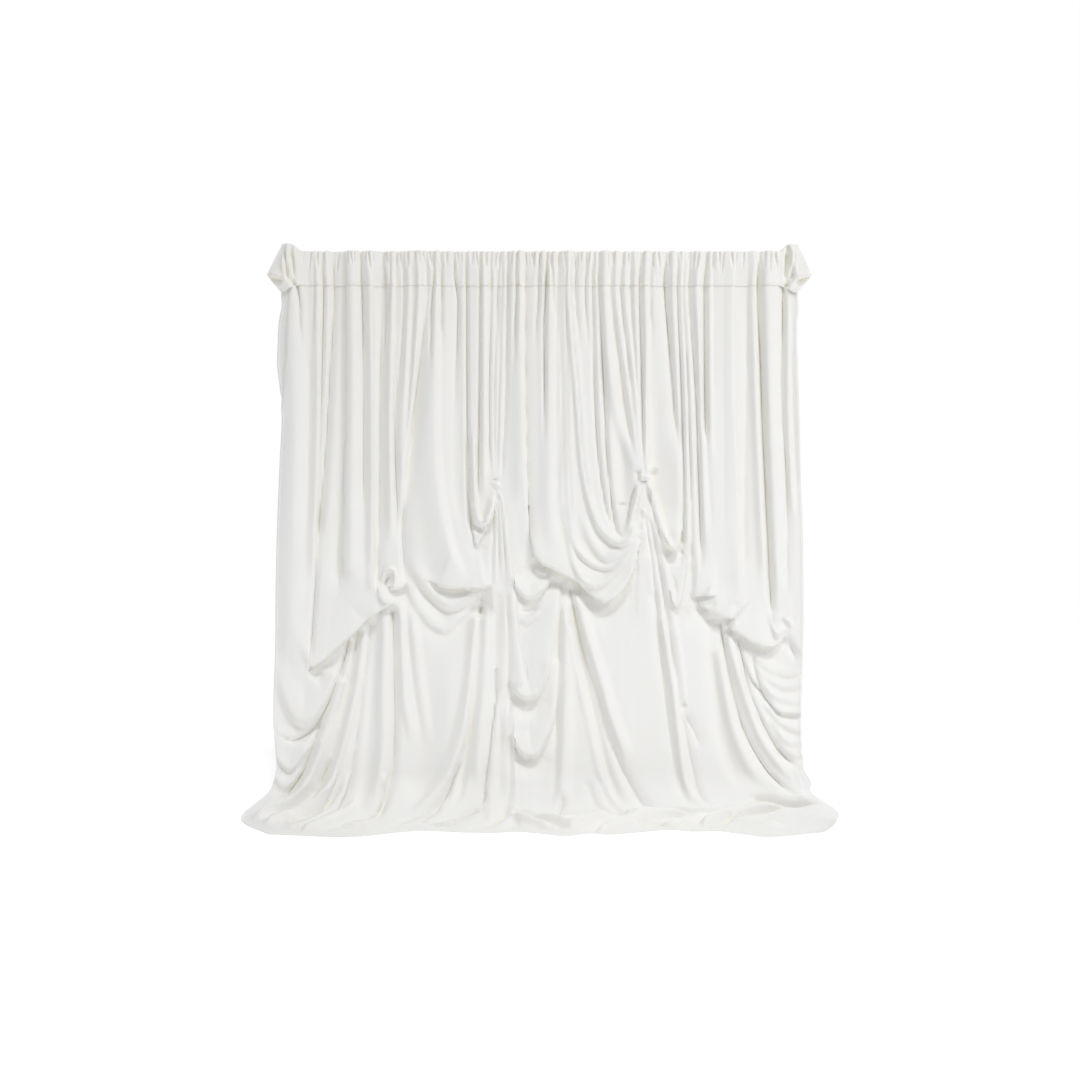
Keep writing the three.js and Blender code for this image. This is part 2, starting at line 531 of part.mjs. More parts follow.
// One section of the pocket, as an outer or an inner loop: up the front ply from the seam, over
// the rod and down the back ply. inset is the cloth's thickness on the inner loop.
function pocketSection(seamAcross, inset) {
  const panelAcross = THREE.MathUtils.clamp(seamAcross, THREADS[0].across[0], THREADS.at(-1).across[0]);
  const pleat = relief(panelAcross, POCKET_DROP / CM);
  const seam = -pleat;
  const radius = CHANNEL_RADIUS + CLOTH - inset;
  const front = -radius - Math.max(GATHER_LEAST, GATHER_OUT + pleat / 2);
  const back = radius + Math.max(GATHER_LEAST, GATHER_OUT - pleat / 2);
  const seamHalf = SEAM_HALF - 0.7 * inset;
  const lift = EAR_PEAK_LIFT * ease((Math.abs(seamAcross) - EAR_ROOT) * CM / EAR_RUN);
  const foot = -POCKET_DROP + 2 * inset;
  const crown = radius + lift;
  const loop = [
    [seam - seamHalf, foot],
    [THREE.MathUtils.lerp(seam - seamHalf, front, 0.6), foot * 0.68],
    [THREE.MathUtils.lerp(seam - seamHalf, front, 0.94), foot * 0.34],
    [front, -8],
    [-0.85 * radius, 0.7 * crown],
    [0, crown],
    [0.85 * radius, 0.7 * crown],
    [back, -8],
    [THREE.MathUtils.lerp(seam + seamHalf, back, 0.94), foot * 0.34],
    [THREE.MathUtils.lerp(seam + seamHalf, back, 0.6), foot * 0.68],
    [seam + seamHalf, foot],
  ];
  return loop.map(([y, z]) => new THREE.Vector3(pocketAcross(seamAcross, -z / CM) * CM, y, z));
}

// Places along the seam, one at every column of the panel below and one at each ear's end
function seamPlaces() {
  const places = [-LEFT_EAR.across[2]];
  for (let i = 0; i + 1 < THREADS.length; i += 1) {
    for (let k = 0; k < COLUMNS_PER_THREAD; k += 1) {
      const share = k / COLUMNS_PER_THREAD;
      places.push(THREE.MathUtils.lerp(THREADS[i].across[0], THREADS[i + 1].across[0], share));
    }
  }
  places.push(THREADS.at(-1).across[0], RIGHT_EAR.across[2]);
  return places;
}

// The pocket: an outer and an inner wall around the rod channel, open at both ends
function pocketGeometry() {
  const places = seamPlaces();
  const outer = places.map((place) => pocketSection(place, 0));
  const inner = places.map((place) => pocketSection(place, CLOTH));
  const around = outer[0].length;
  const last = places.length - 1;
  const faces = new Faces([...outer.flat(), ...inner.flat()]);
  const out = (i, k) => i * around + (k % around);
  const inn = (i, k) => (places.length + i) * around + (k % around);
  for (let k = 0; k < around; k += 1) {
    for (let i = 0; i < last; i += 1) {
      faces.quad(out(i, k), out(i + 1, k), out(i + 1, k + 1), out(i, k + 1));
      faces.quad(inn(i, k), inn(i, k + 1), inn(i + 1, k + 1), inn(i + 1, k));
    }
    faces.quad(out(0, k), out(0, k + 1), inn(0, k + 1), inn(0, k));
    faces.quad(out(last, k), inn(last, k), inn(last, k + 1), out(last, k + 1));
  }
  return faces.geometry();
}

function clothMaterial(color) {
  return new THREE.MeshStandardMaterial({ color, roughness: 0.85, metalness: 0 });
}

function namedMesh(name, geometry, color) {
  const mesh = new THREE.Mesh(geometry, clothMaterial(color));
  mesh.name = name;
  return mesh;
}

const group = new THREE.Group();
group.add(namedMesh('rod_pocket', pocketGeometry(), 0xefeeea));
group.add(namedMesh('drape_panel', sheetGeometry(sheetColumns()), 0xf2f1ee));

export default group;
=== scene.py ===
"""Backdrop drape: a cloth gathered on its rod pocket, caught up in swags and pooled on the floor.

Places on the cloth are in centimetres as they show from straight in front: across from the
middle and down from the rod line. Meshes are in metres in the frame's axes, front towards -Y.
"""

from __future__ import annotations

import logging
import math
from collections.abc import Sequence
from dataclasses import dataclass, field
from enum import Enum
from typing import ClassVar

import bpy
import numpy as np
from numpy.typing import NDArray
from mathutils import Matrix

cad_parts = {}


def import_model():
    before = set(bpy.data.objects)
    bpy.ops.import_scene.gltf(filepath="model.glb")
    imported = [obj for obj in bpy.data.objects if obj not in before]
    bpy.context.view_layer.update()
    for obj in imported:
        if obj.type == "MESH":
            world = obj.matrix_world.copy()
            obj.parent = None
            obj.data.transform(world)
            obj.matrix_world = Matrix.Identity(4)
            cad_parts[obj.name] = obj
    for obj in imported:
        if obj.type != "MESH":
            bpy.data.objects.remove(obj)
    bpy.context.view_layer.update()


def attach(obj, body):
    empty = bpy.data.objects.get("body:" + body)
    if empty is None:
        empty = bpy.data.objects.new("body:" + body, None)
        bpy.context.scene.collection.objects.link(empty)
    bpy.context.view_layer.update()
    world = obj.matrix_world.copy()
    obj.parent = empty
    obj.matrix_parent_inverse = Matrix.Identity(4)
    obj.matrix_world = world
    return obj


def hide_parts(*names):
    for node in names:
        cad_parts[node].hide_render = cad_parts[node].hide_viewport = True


LOG = logging.getLogger("drape")
Array = NDArray[np.float64]
Faces = NDArray[np.int64]
Place = tuple[float, float]
Triple = tuple[float, float, float]

CM = 0.01

# Floor and seam below the rod line, and the distance and drop of the eye that sees the places
FLOOR_DROP = 247.0
SEAM_DROP = 14.2
SIGHT_DISTANCE = 450.0
SIGHT_DROP = 127.8


class Form(Enum):
    """How a stroke shapes the cloth."""

    RIDGE = "rounded fold that stands out"
    TROUGH = "sharp crease between rounded shoulders"
    ROLL = "rounded swag with a steep underside"
    LIP = "rolled edge over what is behind it"


PLAIN_FORMS = (Form.RIDGE, Form.TROUGH)

# Roundness of an edge: the least, and the share of its rise that is added
LIP_ROUND = (0.5, 0.3)
ROLL_ROUND = (0.9, 0.5)
SOFT_ROLL_ROUND = (1.5, 1.2)

# Rise, ease-back, sink and length below of the low lips on the floor
FLOOR_LIP = (1.2, 4.0, 1.0, 4.0)


@dataclass(frozen=True)
class Stroke:
    """One fold or lip, drawn as a path over the cloth that someone walks.

    Attributes:
        form: Ridge, trough, roll or lip.
        rise: Height towards the viewer, negative in a trough.
        right: Half-width on the walker's right hand, or the roundness of a lip or a roll.
        left: Half-width on the walker's left hand, or the length that a lip or roll eases back over.
        path: Places as across and drop. The front layer of a lip or roll is on the left hand.
        sink: How far the cloth below a lip or roll lies back.
        below: Length that this cloth comes forward again over.
        grow: Length that the stroke grows over at its start, or 0 for the usual one.
        fade: Length that it dies out over at its end, or 0 for the usual one.
    """

    form: Form
    rise: float
    right: float
    left: float
    path: tuple[Place, ...]
    sink: float = 0.0
    below: float = 1.0
    grow: float = 0.0
    fade: float = 0.0


def rounded(limits: tuple[float, float], rise: float) -> float:
    """Roundness of an edge: a least one and a share of its rise."""
    return limits[0] + limits[1] * rise


def ridge(rise: float, right: float, *path: Place, left: float = 0.0) -> Stroke:
    """A rounded fold that stands out, with its half-width, and another on the left where it differs."""
    return Stroke(Form.RIDGE, rise, right, left or right, path)


def trough(depth: float, right: float, *path: Place, left: float = 0.0) -> Stroke:
    """A crease that goes in, with its half-width, and another on the left where it differs."""
    return Stroke(Form.TROUGH, -depth, right, left or right, path)


def dip(depth: float, right: float, *path: Place, left: float = 0.0, grow: float = 0.0) -> Stroke:
    """A soft hollow that goes in, with its half-width, and another on the left where it differs."""
    return Stroke(Form.RIDGE, -depth, right, left or right, path, grow=grow)


def lip(rise: float, ease_back: float, *path: Place) -> Stroke:
    """A rolled edge whose layer lies in front on the left hand and eases back into the cloth."""
    return Stroke(Form.LIP, rise, rounded(LIP_ROUND, rise), ease_back, path)


def swag(
    rise: float, ease_back: float, sink: float, below: float, *path: Place, grow: float = 0.0
) -> Stroke:
    """A lip over cloth that is sunk behind it and comes forward again over a length below."""
    return Stroke(Form.LIP, rise, rounded(LIP_ROUND, rise), ease_back, path, sink, below, grow)


def floor_lip(*path: Place) -> Stroke:
    """The low swag of loose cloth that folds over itself on the floor."""
    return swag(*FLOOR_LIP, *path)


def roll(rise: float, ease_back: float, sink: float, below: float, *path: Place) -> Stroke:
    """A rounded swag on the left hand, steep below its crest, over a hollow that fills out again."""
    return Stroke(Form.ROLL, rise, rounded(ROLL_ROUND, rise), ease_back, path, sink, below)


def soft_roll(
    rise: float, ease_back: float, sink: float, below: float, *path: Place, grow: float = 0.0
) -> Stroke:
    """A roll whose underside is gentle."""
    return Stroke(Form.ROLL, rise, rounded(SOFT_ROLL_ROUND, rise), ease_back, path, sink, below, grow)


def crease_from_rod(depth: float, fade: float, *across: float) -> Stroke:
    """A narrow crease from the rod down, by its places across at the drops in CREASE_DROPS."""
    path = tuple(zip(across, CREASE_DROPS))
    return Stroke(Form.TROUGH, -depth, CREASE_HALF, CREASE_HALF, path, grow=CREASE_GROW, fade=fade)


# Creases that go on from the pocket into the panel, with how deep and how gradually each ends
CREASE_DROPS = (4.0, 10.0, 20.0, 30.0, 45.0, 60.0, 75.0, 90.0)
CREASE_HALF = 0.55
CREASE_GROW = 2.0
ROD_CREASES = (
    crease_from_rod(1.4, 20, -110.2, -109.3, -107.5, -107.1, -106.6),
    crease_from_rod(0.6, 20, -100.4, -100.8, -100.8, -101.2, -101.7),
    crease_from_rod(1.0, 30, -79.8, -79.8, -79.8, -79.3, -78.9, -78.9),
    crease_from_rod(1.2, 30, -70, -69.1, -69.1, -69.1, -69.1, -69.5),
    crease_from_rod(0.9, 15, -66.4, -66.8, -67.3, -67.7, -68.6),
    crease_from_rod(1.3, 30, -47.2, -47.2, -48.1, -48.5, -48.9, -49.4),
    crease_from_rod(1.3, 18, -43.6, -44, -44, -44, -43.6),
    crease_from_rod(1.2, 35, -38.2, -38.2, -36.9, -36.9, -37.3, -37.8, -37.8),
    crease_from_rod(0.9, 20, -18.1, -18.6, -19, -19, -19),
    crease_from_rod(0.7, 20, -14.1, -14.5, -14.5, -15.4, -15.9),
    crease_from_rod(1.5, 35, -10.5, -10.5, -10.5, -11, -11.4, -12.4),
    crease_from_rod(1.0, 20, -0.2, -0.7, -0.7, -1.6, -2.5),
    crease_from_rod(2.2, 40, 3.2, 2.9, 2.5, 2, 2, 2, 2, 2),
    crease_from_rod(1.0, 8, 4.7, 5.6, 6, 7.2),
    crease_from_rod(1.0, 20, 8, 7.8, 7.8, 7.8, 7.9),
    crease_from_rod(1.1, 20, 15.9, 15.9, 15.9, 16.8, 17.7),
    crease_from_rod(0.9, 14, 21.2, 20.3, 20.3, 20.8, 22),
    crease_from_rod(0.8, 20, 49.8, 49.4, 49.4, 49.8, 50.7),
    crease_from_rod(1.0, 30, 56.1, 55.7, 56.1, 57, 57.9, 58.3),
    crease_from_rod(1.0, 20, 109.7, 109.3, 108.8, 108.8, 108.4),
)

# Upper fall: the gathers that hang from the pocket, from the left edge to the right one.
# Walked downwards, the right hand is west. A lip walked upwards has its front to the west.
LEFT_FALL = (
    lip(0.5, 6, (-110.8, 10), (-111.8, 20), (-113.3, 40), (-115.2, 63), (-116.5, 76)),
    ridge(1.6, 4.5, (-110.5, 20), (-109.3, 60), (-110, 100), (-111, 160), (-109.5, 187)),
    trough(0.8, 3, (-103.5, 46), (-103.5, 100), (-104.5, 128)),
    ridge(1.2, 2.5, (-99, 20), (-98.8, 70), (-100, 110), (-101, 148), left=1.2),
    trough(1.6, 0.8, (-96.9, 15), (-97.8, 70), (-99, 115), (-100.2, 145), (-102.8, 185)),
    ridge(0.6, 1.2, (-95, 20), (-96.3, 70), (-97.5, 95), (-98.5, 120)),
    trough(2.2, 1, (-92.5, 15), (-93.2, 40), (-96, 90), (-98.3, 118), (-99.2, 132), left=1.3),
    trough(1.6, 2.6, (-87.2, 15), (-87.3, 90), (-88.8, 125), (-90.5, 156), left=1.6),
    lip(1.4, 6, (-86.6, 15), (-86.7, 60), (-87.6, 110), (-88.6, 144)),
    ridge(1.2, 3.5, (-83.5, 20), (-84, 70), (-84.5, 100), (-83, 152), left=4),
    trough(1.2, 1.7, (-79.7, 15), (-78.8, 80), (-79, 116)),
    ridge(1.0, 2, (-76, 15), (-75.3, 70), (-75, 110), (-75.5, 148), left=1.5),
    lip(1.5, 4, (-73.8, 152), (-73.9, 125), (-74.2, 100), (-74.2, 60), (-74.2, 15)),
    trough(1.6, 2.2, (-71, 15), (-71.5, 60), (-72, 125), (-72.6, 153), left=1.8),
    ridge(1.4, 2.2, (-65.6, 15), (-66, 40), (-66.8, 75), (-66.5, 130), left=1.5),
    trough(1.6, 1, (-64.3, 20), (-65, 75), (-63.8, 112), (-63.2, 132), left=1.6),
    ridge(0.5, 1.2, (-62.3, 20), (-63.5, 60), (-63, 118)),
    trough(0.9, 1, (-61, 20), (-61.8, 40), (-64.5, 72)),
    ridge(1.0, 1.5, (-58.5, 20), (-60, 50), (-61.8, 80), (-62.5, 105), left=1.2),
    trough(0.8, 1, (-55.3, 20), (-56.8, 40), (-60, 85)),
    ridge(1.4, 1.8, (-54.3, 20), (-56.3, 50), (-59.5, 88), (-62, 120), left=1),
    trough(1.8, 0.9, (-50.5, 20), (-53.3, 45), (-56.7, 72), (-60.6, 105), (-61.5, 128), (-59.6, 150),
           left=2.4),
)
MIDDLE_FALL = (
    ridge(1.8, 6, (-47, 15), (-47, 83), (-45.4, 106), (-42.8, 122), (-39.6, 134), (-35.8, 143),
          (-32.6, 147), left=2.0),
    dip(0.7, 2.5, (-37.5, 15), (-37, 100), (-35, 122)),
    trough(2.0, 0.6, (-32.9, 15), (-32.5, 70), (-32.1, 100), (-31.6, 115), (-30.6, 123), (-28.6, 131)),
    trough(1.8, 0.5, (-26.6, 15), (-27, 60), (-27.5, 95), (-27.3, 106), (-26.4, 114)),
    ridge(0.8, 1, (-25.2, 15), (-25, 90), (-24.6, 106), (-23.8, 110)),
    trough(1.2, 0.5, (-22, 15), (-22.6, 60), (-22.4, 90), (-21.8, 100)),
    trough(0.7, 0.45, (-19.6, 15), (-20.4, 60), (-20.3, 99)),
    trough(0.7, 0.45, (-17, 15), (-18.4, 60), (-19.2, 99)),
    trough(0.9, 0.5, (-14.3, 15), (-15.2, 50), (-16.4, 85), (-17.3, 103), left=0.6),
    ridge(1.2, 4, (-9, 15), (-8.4, 60), (-7, 114), left=1.2),
    trough(1.5, 0.5, (-6.6, 15), (-6.3, 60), (-5.8, 90), (-5.2, 110), (-4.6, 122), (-3.8, 132), left=1.4),
    ridge(1.2, 3.4, (4.4, 15), (4.4, 60), (4.2, 90), (4.4, 110), (6, 125), (9, 135), left=2.4),
    roll(1.1, 3, 1.0, 5, (8.2, 15), (8.6, 40), (9.2, 74), (9.8, 101), (10.5, 114.4), (12.7, 127.8),
         (15, 138.5), (18.6, 145.2), (23, 148.2), (27.5, 147.5), (33.8, 142.1), (39.1, 135.8),
         (43.6, 127.8), (45.3, 121)),
    trough(0.8, 0.5, (8.8, 15), (9.2, 40), (9.8, 74), (10.4, 101), (11.2, 114.4), (13.4, 127.8),
           left=0.6),
    roll(1.1, 3.5, 1.0, 5, (11.3, 15), (11.9, 74), (12.3, 92), (13.2, 111.7), (14.1, 124.2), (16.5, 132),
         (22.1, 137.6), (27.5, 140.1), (32, 139.9), (37.3, 135.8), (41.8, 129.6), (44.8, 122)),
    trough(0.7, 0.5, (11.8, 15), (12.4, 74), (12.8, 92), (13.7, 111.7), (14.8, 124.2)),
    soft_roll(1.3, 3.5, 0.8, 4, (18.6, 112), (20, 119), (22.1, 126), (25.7, 132.3), (29.3, 135.4),
              (33.8, 133.6), (39.1, 129.6), (43.6, 122.4), grow=20),
    roll(1.8, 4, 0.9, 4, (12.8, 20), (15.2, 50), (17.2, 74), (18.1, 87.6), (19.9, 101), (23, 114.4),
         (26.6, 122.4), (30.6, 126.5), (34.2, 129.1), (37.3, 128.9), (40.5, 126), (43.5, 119)),
    trough(0.9, 0.5, (13.6, 20), (16, 50), (18, 74), (18.9, 87.6), (20.7, 101), (23.8, 114.4), left=0.7),
    trough(1.5, 0.6, (23.4, 15), (23.9, 45), (24.8, 74.2), (25.7, 87.6), (27.5, 102.8), (29.7, 114.4),
           (32.4, 122.4), (34.2, 126), left=0.8),
    trough(1.8, 0.6, (26.4, 15), (28, 50), (29, 74.2), (29.7, 87.6), (31.1, 103.7), (32.4, 114.4),
           (33.8, 122.4), (35.1, 125.6), (37.3, 126.5), (39.4, 124.5), left=0.8),
)
RIGHT_FALL = (
    ridge(1.3, 2.2, (29, 20), (30.5, 45), (35, 72), (40.5, 91), (44, 99)),
    trough(0.8, 1.5, (31.5, 18), (35, 45), (38.5, 72), (43.3, 94)),
    dip(1.6, 3, (36.5, 30), (36.5, 70), (37, 95), (37.4, 117), grow=60),
    dip(2.2, 1.4, (49.8, 24), (49.8, 70), (50.6, 95), (53.5, 116), (57, 126), left=7, grow=50),
    ridge(1.1, 1.2, (34, 20), (38, 50), (41.5, 75), (45, 97)),
    trough(1.0, 1.1, (36.3, 20), (39, 45), (42, 72), (45.2, 95)),
    ridge(0.8, 1.1, (38, 20), (40.5, 40), (42.7, 63), (45.5, 95)),
    trough(1.0, 1, (40.5, 17), (42.7, 50), (44, 67), (45.8, 96)),
    ridge(0.7, 1, (42.5, 20), (44, 55), (46.3, 98)),
    trough(1.7, 0.8, (44.6, 15), (45, 40), (46.5, 98)),
    ridge(0.9, 1.1, (47, 20), (47.7, 45), (46.8, 99)),
    trough(1.8, 2.2, (56, 15), (58.5, 48), (60.5, 72), (62.7, 92), left=1.8),
    ridge(0.9, 1.2, (59.7, 20), (61.7, 65), (63, 84)),
    trough(1.8, 1.1, (61.5, 15), (63.2, 62), (64.5, 102), (63.9, 124), (62.8, 143)),
    ridge(0.6, 1, (63, 20), (64.8, 65), (65.8, 110), (65.8, 134)),
    trough(1.1, 1, (64.3, 20), (66.4, 68), (67.8, 125), (67.7, 153)),
    ridge(0.5, 1, (65.3, 20), (67.3, 60), (69, 105)),
    trough(1.8, 1, (66.6, 20), (69.5, 62), (71, 105), (72.3, 144), left=1.2),
    ridge(0.9, 1.1, (70, 20), (71.5, 50), (74, 131)),
    trough(2.4, 1.1, (73.7, 15), (73.5, 60), (74.2, 88)),
    trough(0.6, 1, (74.4, 86), (76.3, 112), (77, 129)),
    ridge(0.7, 1.1, (75.7, 15), (76.5, 95)),
    trough(0.5, 1, (77.4, 15), (77.7, 66)),
    trough(0.6, 4, (82.5, 15), (82.5, 80), (83, 124)),
    lip(1.2, 7, (90.4, 158), (89.7, 140), (88.7, 105), (87.7, 75), (87, 60), (87, 15)),
    trough(1.2, 4, (93, 17), (92, 80), (91.5, 110), (92, 146)),
    ridge(1.2, 2.5, (96, 20), (98, 75), (99.5, 110), (101.3, 149), left=1),
    trough(2.4, 1, (97.6, 15), (98.8, 65), (100.6, 107), (102.5, 145), (104.2, 169), left=1.2),
    ridge(1.4, 2.5, (101.5, 20), (104.5, 100), (107, 155), left=4),
    trough(1.4, 1.8, (109.5, 15), (107.8, 60), (110.3, 105), (110.7, 155), left=1.2),
    ridge(1.0, 1.2, (111, 20), (111, 70), (113, 121)),
    trough(0.8, 1, (111.8, 20), (113.3, 68), (115, 115)),
)

# Gathers and swags: the bunched points and the rolled edges under them
LEFT_SWAGS = (
    trough(0.6, 0.4, (-21.9, 100.4), (-20, 100.9), (-17.8, 100.2)),
    ridge(0.6, 0.9, (-21.6, 102.4), (-19.8, 102.8), (-17.8, 102.2)),
    trough(0.5, 0.4, (-21.3, 104.4), (-19.7, 104.9), (-18, 104.2)),
    ridge(1.5, 1, (-29.9, 80), (-29.6, 95), (-29, 110), (-27.4, 118), (-25.6, 119.6), (-23.6, 117.3),
          (-21.3, 110), (-20, 104)),
    swag(1.6, 3, 1.6, 4, (-31.2, 110), (-30.3, 117.7), (-28.6, 121.1), (-26, 122.4), (-23.4, 121.1),
         (-20.9, 116.8), (-19.6, 108)),
    swag(0.9, 3.5, 1.0, 6, (-30.8, 121), (-29.4, 128.8), (-27.7, 130.1), (-26, 127.1), (-22.6, 122),
         (-21, 116)),
    trough(0.9, 0.6, (-19.6, 106), (-20.6, 120), (-21.4, 135), (-21.6, 152)),
    trough(0.8, 0.5, (-18.9, 106), (-18.4, 125), (-18.2, 150)),
    trough(0.8, 0.5, (-18.2, 107), (-16.4, 125), (-15.2, 150)),
    lip(1.5, 5, (-10.2, 194.8), (-7.6, 190.6), (-7.9, 185.3), (-9.7, 166), (-10.8, 150), (-14, 127),
        (-17, 107)),
    lip(1.4, 4, (-10.2, 252), (-10.6, 238), (-10.8, 224.7), (-11.3, 214), (-12.9, 192.7)),
    swag(1.0, 3.5, 0, 1, (-22, 166), (-20.3, 180), (-18.9, 190.6), (-19.6, 201), (-21.9, 218),
         (-23.7, 234), (-24.8, 244), grow=26),
    trough(0.7, 0.6, (-25.8, 151), (-27, 162), (-28.4, 172), (-29.6, 185), (-30.6, 200)),
    swag(1.8, 20, 3.0, 14, (-52, 144.4), (-46.6, 147.7), (-41.5, 149), (-32.9, 149.6), (-26, 149.2),
         (-21.3, 148.2), grow=10),
    soft_roll(1.7, 5, 2.4, 14, (-60.8, 128.8), (-57.8, 136.6), (-53.5, 144.3), (-47.5, 152),
              (-42.3, 156.3), (-38.9, 156.8), (-33.7, 154.6), (-28.6, 150.3), (-26.4, 148.6), grow=22),
    soft_roll(1.3, 6, 1.2, 8, (-59.8, 145.3), (-55.5, 155), (-50, 163), (-44.5, 167), (-40.5, 166.3),
              (-35, 160.8), (-28.5, 152.5)),
    swag(2.0, 24, 2.6, 16, (-104.5, 186.2), (-97.7, 182.5), (-90.3, 176.1), (-82.8, 169.7),
         (-75.4, 162.2), (-65, 156)),
    lip(0.5, 8, (-104.2, 192), (-103.2, 185), (-102.5, 178), (-100.4, 147)),
    trough(0.8, 1.2, (-103.5, 187), (-100, 188.5), (-95.5, 187.2)),
    soft_roll(2.4, 12, 1.6, 8, (-116.5, 178), (-114.8, 192), (-112.6, 199.5), (-109.4, 205.9),
              (-106.2, 208), (-102.5, 206.9), (-98.8, 202.7), (-94.5, 194.2), (-91, 185), grow=28),
    roll(1.2, 5, 1.0, 6, (-119, 223), (-114, 229), (-110.5, 229.5), (-103, 219)),
    roll(0.9, 5, 0.8, 6, (-119, 233), (-115, 238), (-110, 236), (-105, 229)),
    swag(2.0, 6, 1.6, 5, (-69, 148.6), (-65.6, 149.9), (-62.2, 149.4), (-58.5, 146.4)),
    ridge(1.5, 0.9, (-71.5, 147), (-70, 142.6), (-67.5, 140.9), (-65.3, 141.6), (-64.7, 145),
          (-65.3, 149)),
    trough(1.4, 0.7, (-69.6, 149.5), (-68.4, 145.5), (-66.6, 143.4)),
    lip(2.0, 6, (-72.7, 148), (-72, 153), (-70, 155.4), (-65.8, 157)),
    trough(0.6, 2, (-85.5, 156.5), (-80, 162), (-74, 160.6)),
)
CENTRE_SWAGS = (
    swag(2.0, 16, 4.0, 18, (-5.7, 100), (-5.2, 114), (-4.3, 126), (-2.6, 133.5), (-0.2, 137.8),
         (5.1, 140.5), (8.7, 142.6), (13.2, 144.8), (16.8, 146.6), (21.2, 151), (26.6, 154.9),
         (30.2, 155.3), (34.6, 152.8), (39.1, 147.5), (42.2, 140.3), (44, 132.3), (45, 126), grow=36),
    ridge(0.8, 1.1, (-2.5, 139.5), (1, 142), (4.5, 142.7)),
    trough(0.7, 1, (6.3, 143), (3, 150), (-1, 156), (-4.5, 159.3)),
    roll(1.6, 5, 2.0, 9, (-12.2, 143), (-10.4, 148), (-7.6, 151.6), (-4.7, 153.3), (-1, 151.6),
         (3.4, 147), (6.5, 142.6)),
    trough(1.0, 0.7, (-9.7, 159.3), (-5.4, 159.8), (-0.2, 157.2), left=0.9),
    ridge(0.6, 1.2, (-9.8, 161.5), (-7, 164), (-3, 161.5), (4.2, 151.5)),
    trough(0.6, 1.2, (-9, 168.7), (-5, 166), (-0.5, 161.5)),
    roll(2.0, 12, 3.2, 12, (-12.9, 190), (-10.2, 195.4), (-6, 198), (-1.7, 196.4), (2.5, 187.4),
         (5.7, 171.4), (7.9, 155.5), (8.8, 148)),
    roll(1.8, 10, 3.0, 12, (-11.9, 213), (-11, 217), (-8.1, 222.5), (-4.4, 223.9), (-0.6, 222.5),
         (4.1, 211.9), (7.3, 195.9), (8.2, 180)),
)
